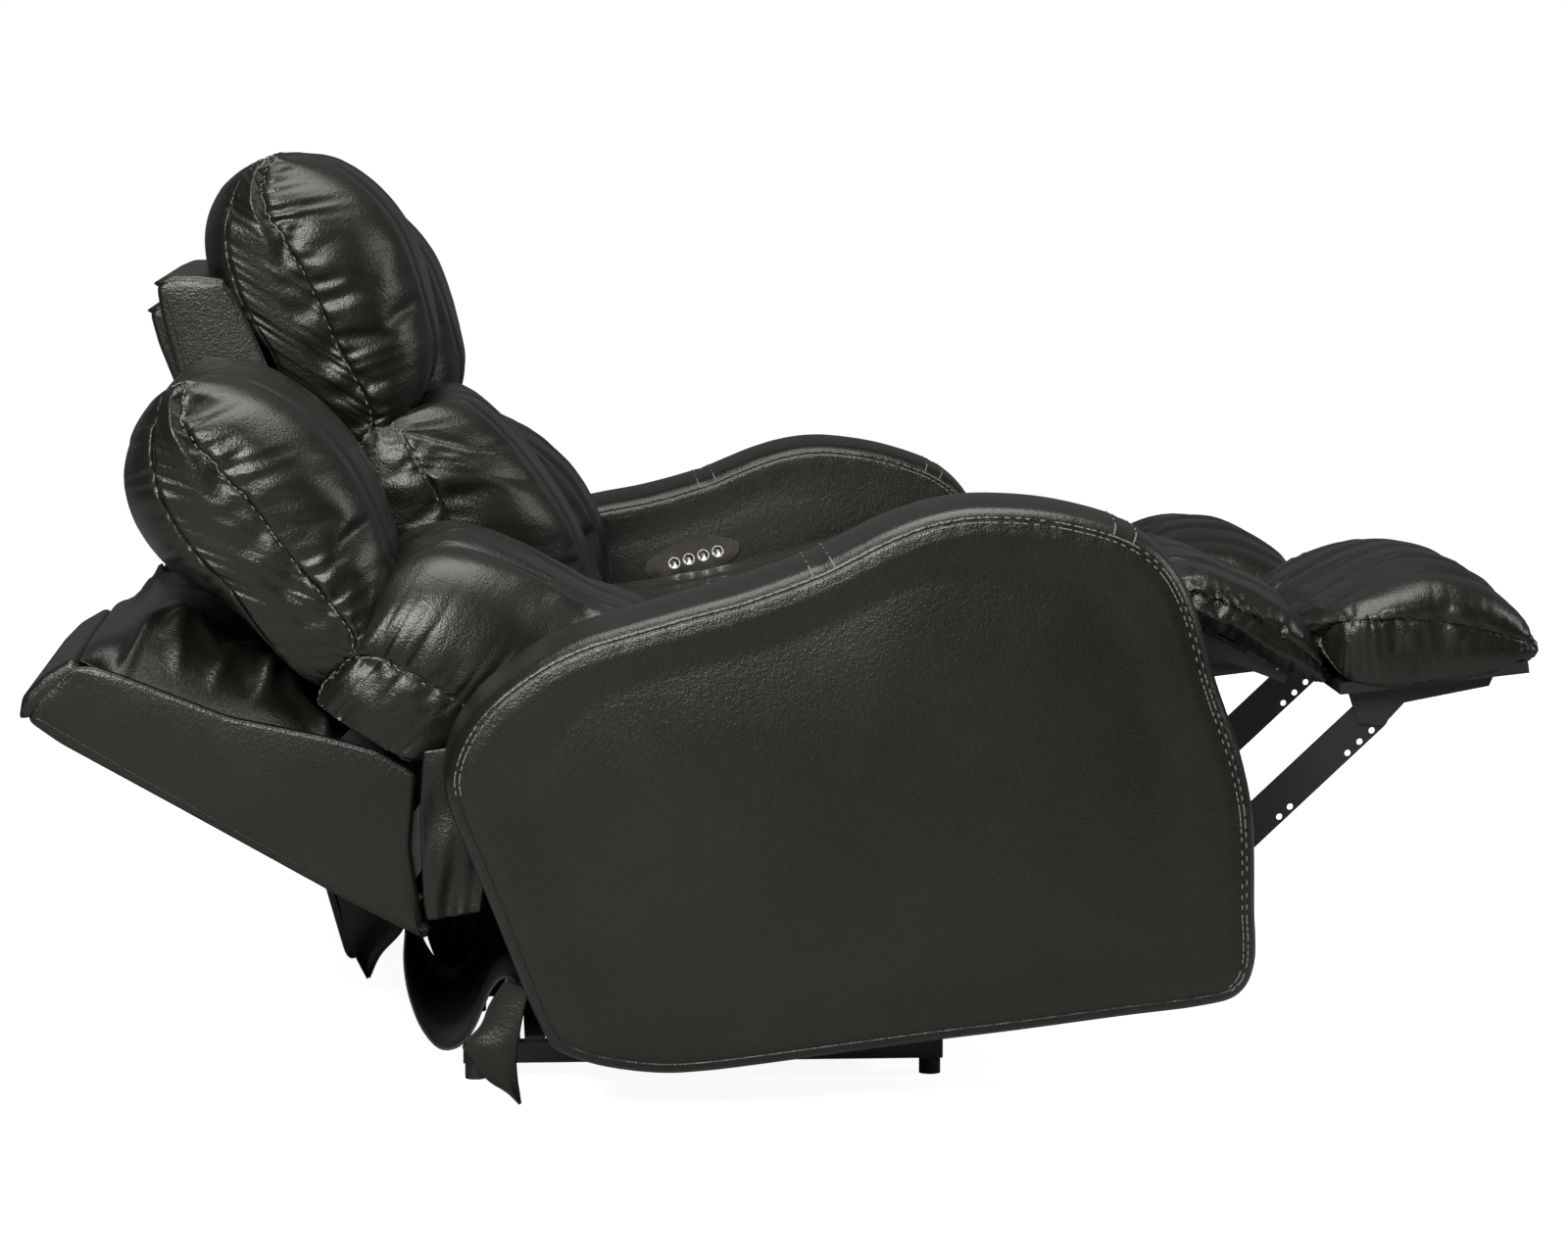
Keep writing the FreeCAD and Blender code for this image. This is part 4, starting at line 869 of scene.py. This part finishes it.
# The slack is two waves across the width. It fades over the last 70 mm to each side and is nothing at the
# tacked ends.
slack = 7.0 * np.sin(across / 61.0 + 0.6) + 4.0 * np.sin(across / 27.0)
slack *= np.clip((CLOTH_HALF - np.abs(across)) / 70, 0, 1)
ease = np.sin(np.pi * share) ** 1.5
curtain = np.empty((CLOTH_ROWS, CLOTH_COLUMNS, 3))
curtain[:, :, 0] = across
curtain[:, :, 1:] = curtain_line[:, None]
curtain[:, :, 1] += ease * np.sin(share * 9) * 0.5 * slack
curtain[:, :, 2] += ease * slack
long = np.linalg.norm(np.diff(curtain_line, axis=0), axis=1).sum() / 1000
for seat in ("left", "right"):
    cloth = open_sheet(seat + "_dust_cloth", stand(curtain, seat, "seat"), seat + "_seat", lining_cloth,
                       CLOTH_THICK)
    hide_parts(seat + "_dust_curtain")

# Loose ends: a pointed flap of leather that hangs beside the near rear foot, and the loose lower corner
# of the middle seat's rear skirt. Each hangs from its upper edge and waves a little towards the tip.
FLAP_REAR = [(68, 158), (48, 127), (37, 101), (16, 78), (25, 63), (44, 37), (67, 22), (81, 9)]
FLAP_FRONT = [(95, 141), (89, 121), (84, 97), (79, 63), (80, 39), (82, 22), (83, 13), (84, 8)]
CORNER_REAR = [(-152, 140), (-142, 102), (-130, 66), (-111, 28)]
CORNER_FRONT = [(-64, 140), (-62, 96), (-93, 60), (-108, 30)]
FLAP_ROWS, FLAP_COLUMNS = 40, 16


def between(rear, front, rows, columns):
    """A sheet at x = 0, straight across from its rear edge to its front edge in side view."""
    low, high = (evenly(through(keys, 8, closed=False), rows) for keys in (rear, front))
    grid = np.zeros((rows, columns, 3))
    grid[:, :, 1:] = low[:, None] + (high - low)[:, None] * np.linspace(0, 1, columns)[:, None]
    return grid


for name, rear, front, x, sway, under, cut_size in (
        ("left_loose_flap", FLAP_REAR, FLAP_FRONT, -990.0, 6.0, "base_frames", (0.048, 0.145)),
        ("middle_skirt_corner", CORNER_REAR, CORNER_FRONT, -284.0, -5.0, "middle_back_rear_panel",
         (0.055, 0.115))):
    grid = between(rear, front, FLAP_ROWS, FLAP_COLUMNS)
    down, over = np.linspace(0, 1, FLAP_ROWS)[:, None], np.linspace(0, 1, FLAP_COLUMNS)
    grid[:, :, 0] = x + sway * np.sin(3.2 * down + 4 * over) * down ** 0.5
    flap = open_sheet(name, stand(grid, "middle", "seat"), "root")
    if name == "left_loose_flap":
        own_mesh(flap)

# Side gussets: soft leather between each recliner's back and the arm, slack in two cross folds. The inner
# one runs down beside the dust cloth.
GUSSET_REAR = [(-88, 384), (-96, 330), (-100, 270), (-103, 205), (-100, 180)]
GUSSET_FRONT = [(-6, 390), (-14, 330), (-22, 270), (-30, 215), (-36, 186)]
LOW_REAR = GUSSET_REAR[:-1] + [(-116, 160), (-120, 110), (-116, 70), (-108, 38), (-98, 22)]
LOW_FRONT = GUSSET_FRONT + [(-30, 140), (-28, 112), (-32, 84), (-50, 52), (-74, 26)]
GUSSET_X = 277.0
GUSSET_ROWS, GUSSET_COLUMNS = 60, 24
down, over = np.linspace(0, 1, GUSSET_ROWS)[:, None], np.linspace(0, 1, GUSSET_COLUMNS)
# One slanting wave that is nothing at the sewn edges, and one that grows downwards.
wave = 6 * np.sin(2 * np.pi * (1.7 * down + 0.5 * over)) * np.sin(np.pi * over) \
    + 3 * np.sin(2 * np.pi * (2.4 * over + 0.8 * down)) * down
for seat, outwards in (("left", -1), ("right", 1)):
    for side, rear, front, sign, long in (("outer", GUSSET_REAR, GUSSET_FRONT, outwards, 0.21),
                                          ("inner", LOW_REAR, LOW_FRONT, -outwards, 0.36)):
        grid = between(rear, front, GUSSET_ROWS, GUSSET_COLUMNS)
        grid[:, :, 0] = sign * (GUSSET_X + 0.5 * wave)
        gusset = open_sheet(seat + "_" + side + "_gusset", stand(grid, seat, "seat"), seat + "_seat")

# Controls: an oval plate of dark bronze set in each arm's inner face, with four chromed push buttons
# that press in 2 mm.
bronze = finish_material("dark_bronze", (0.12, 0.11, 0.095), (0.05, 0.046, 0.04), 0.24, metal=1.0, grain=1300,
                         bump=0.00005, patch=40)
chrome = finish_material("button_chrome", (0.85, 0.84, 0.82), (0.7, 0.69, 0.68), 0.16, metal=1.0, grain=1800,
                         bump=0.00002, patch=60)
for side in ("left", "right"):
    give(side + "_control_plate", bronze)
    for part in ("head_down", "head_up", "recline", "return"):
        give(side + "_" + part + "_button", chrome)
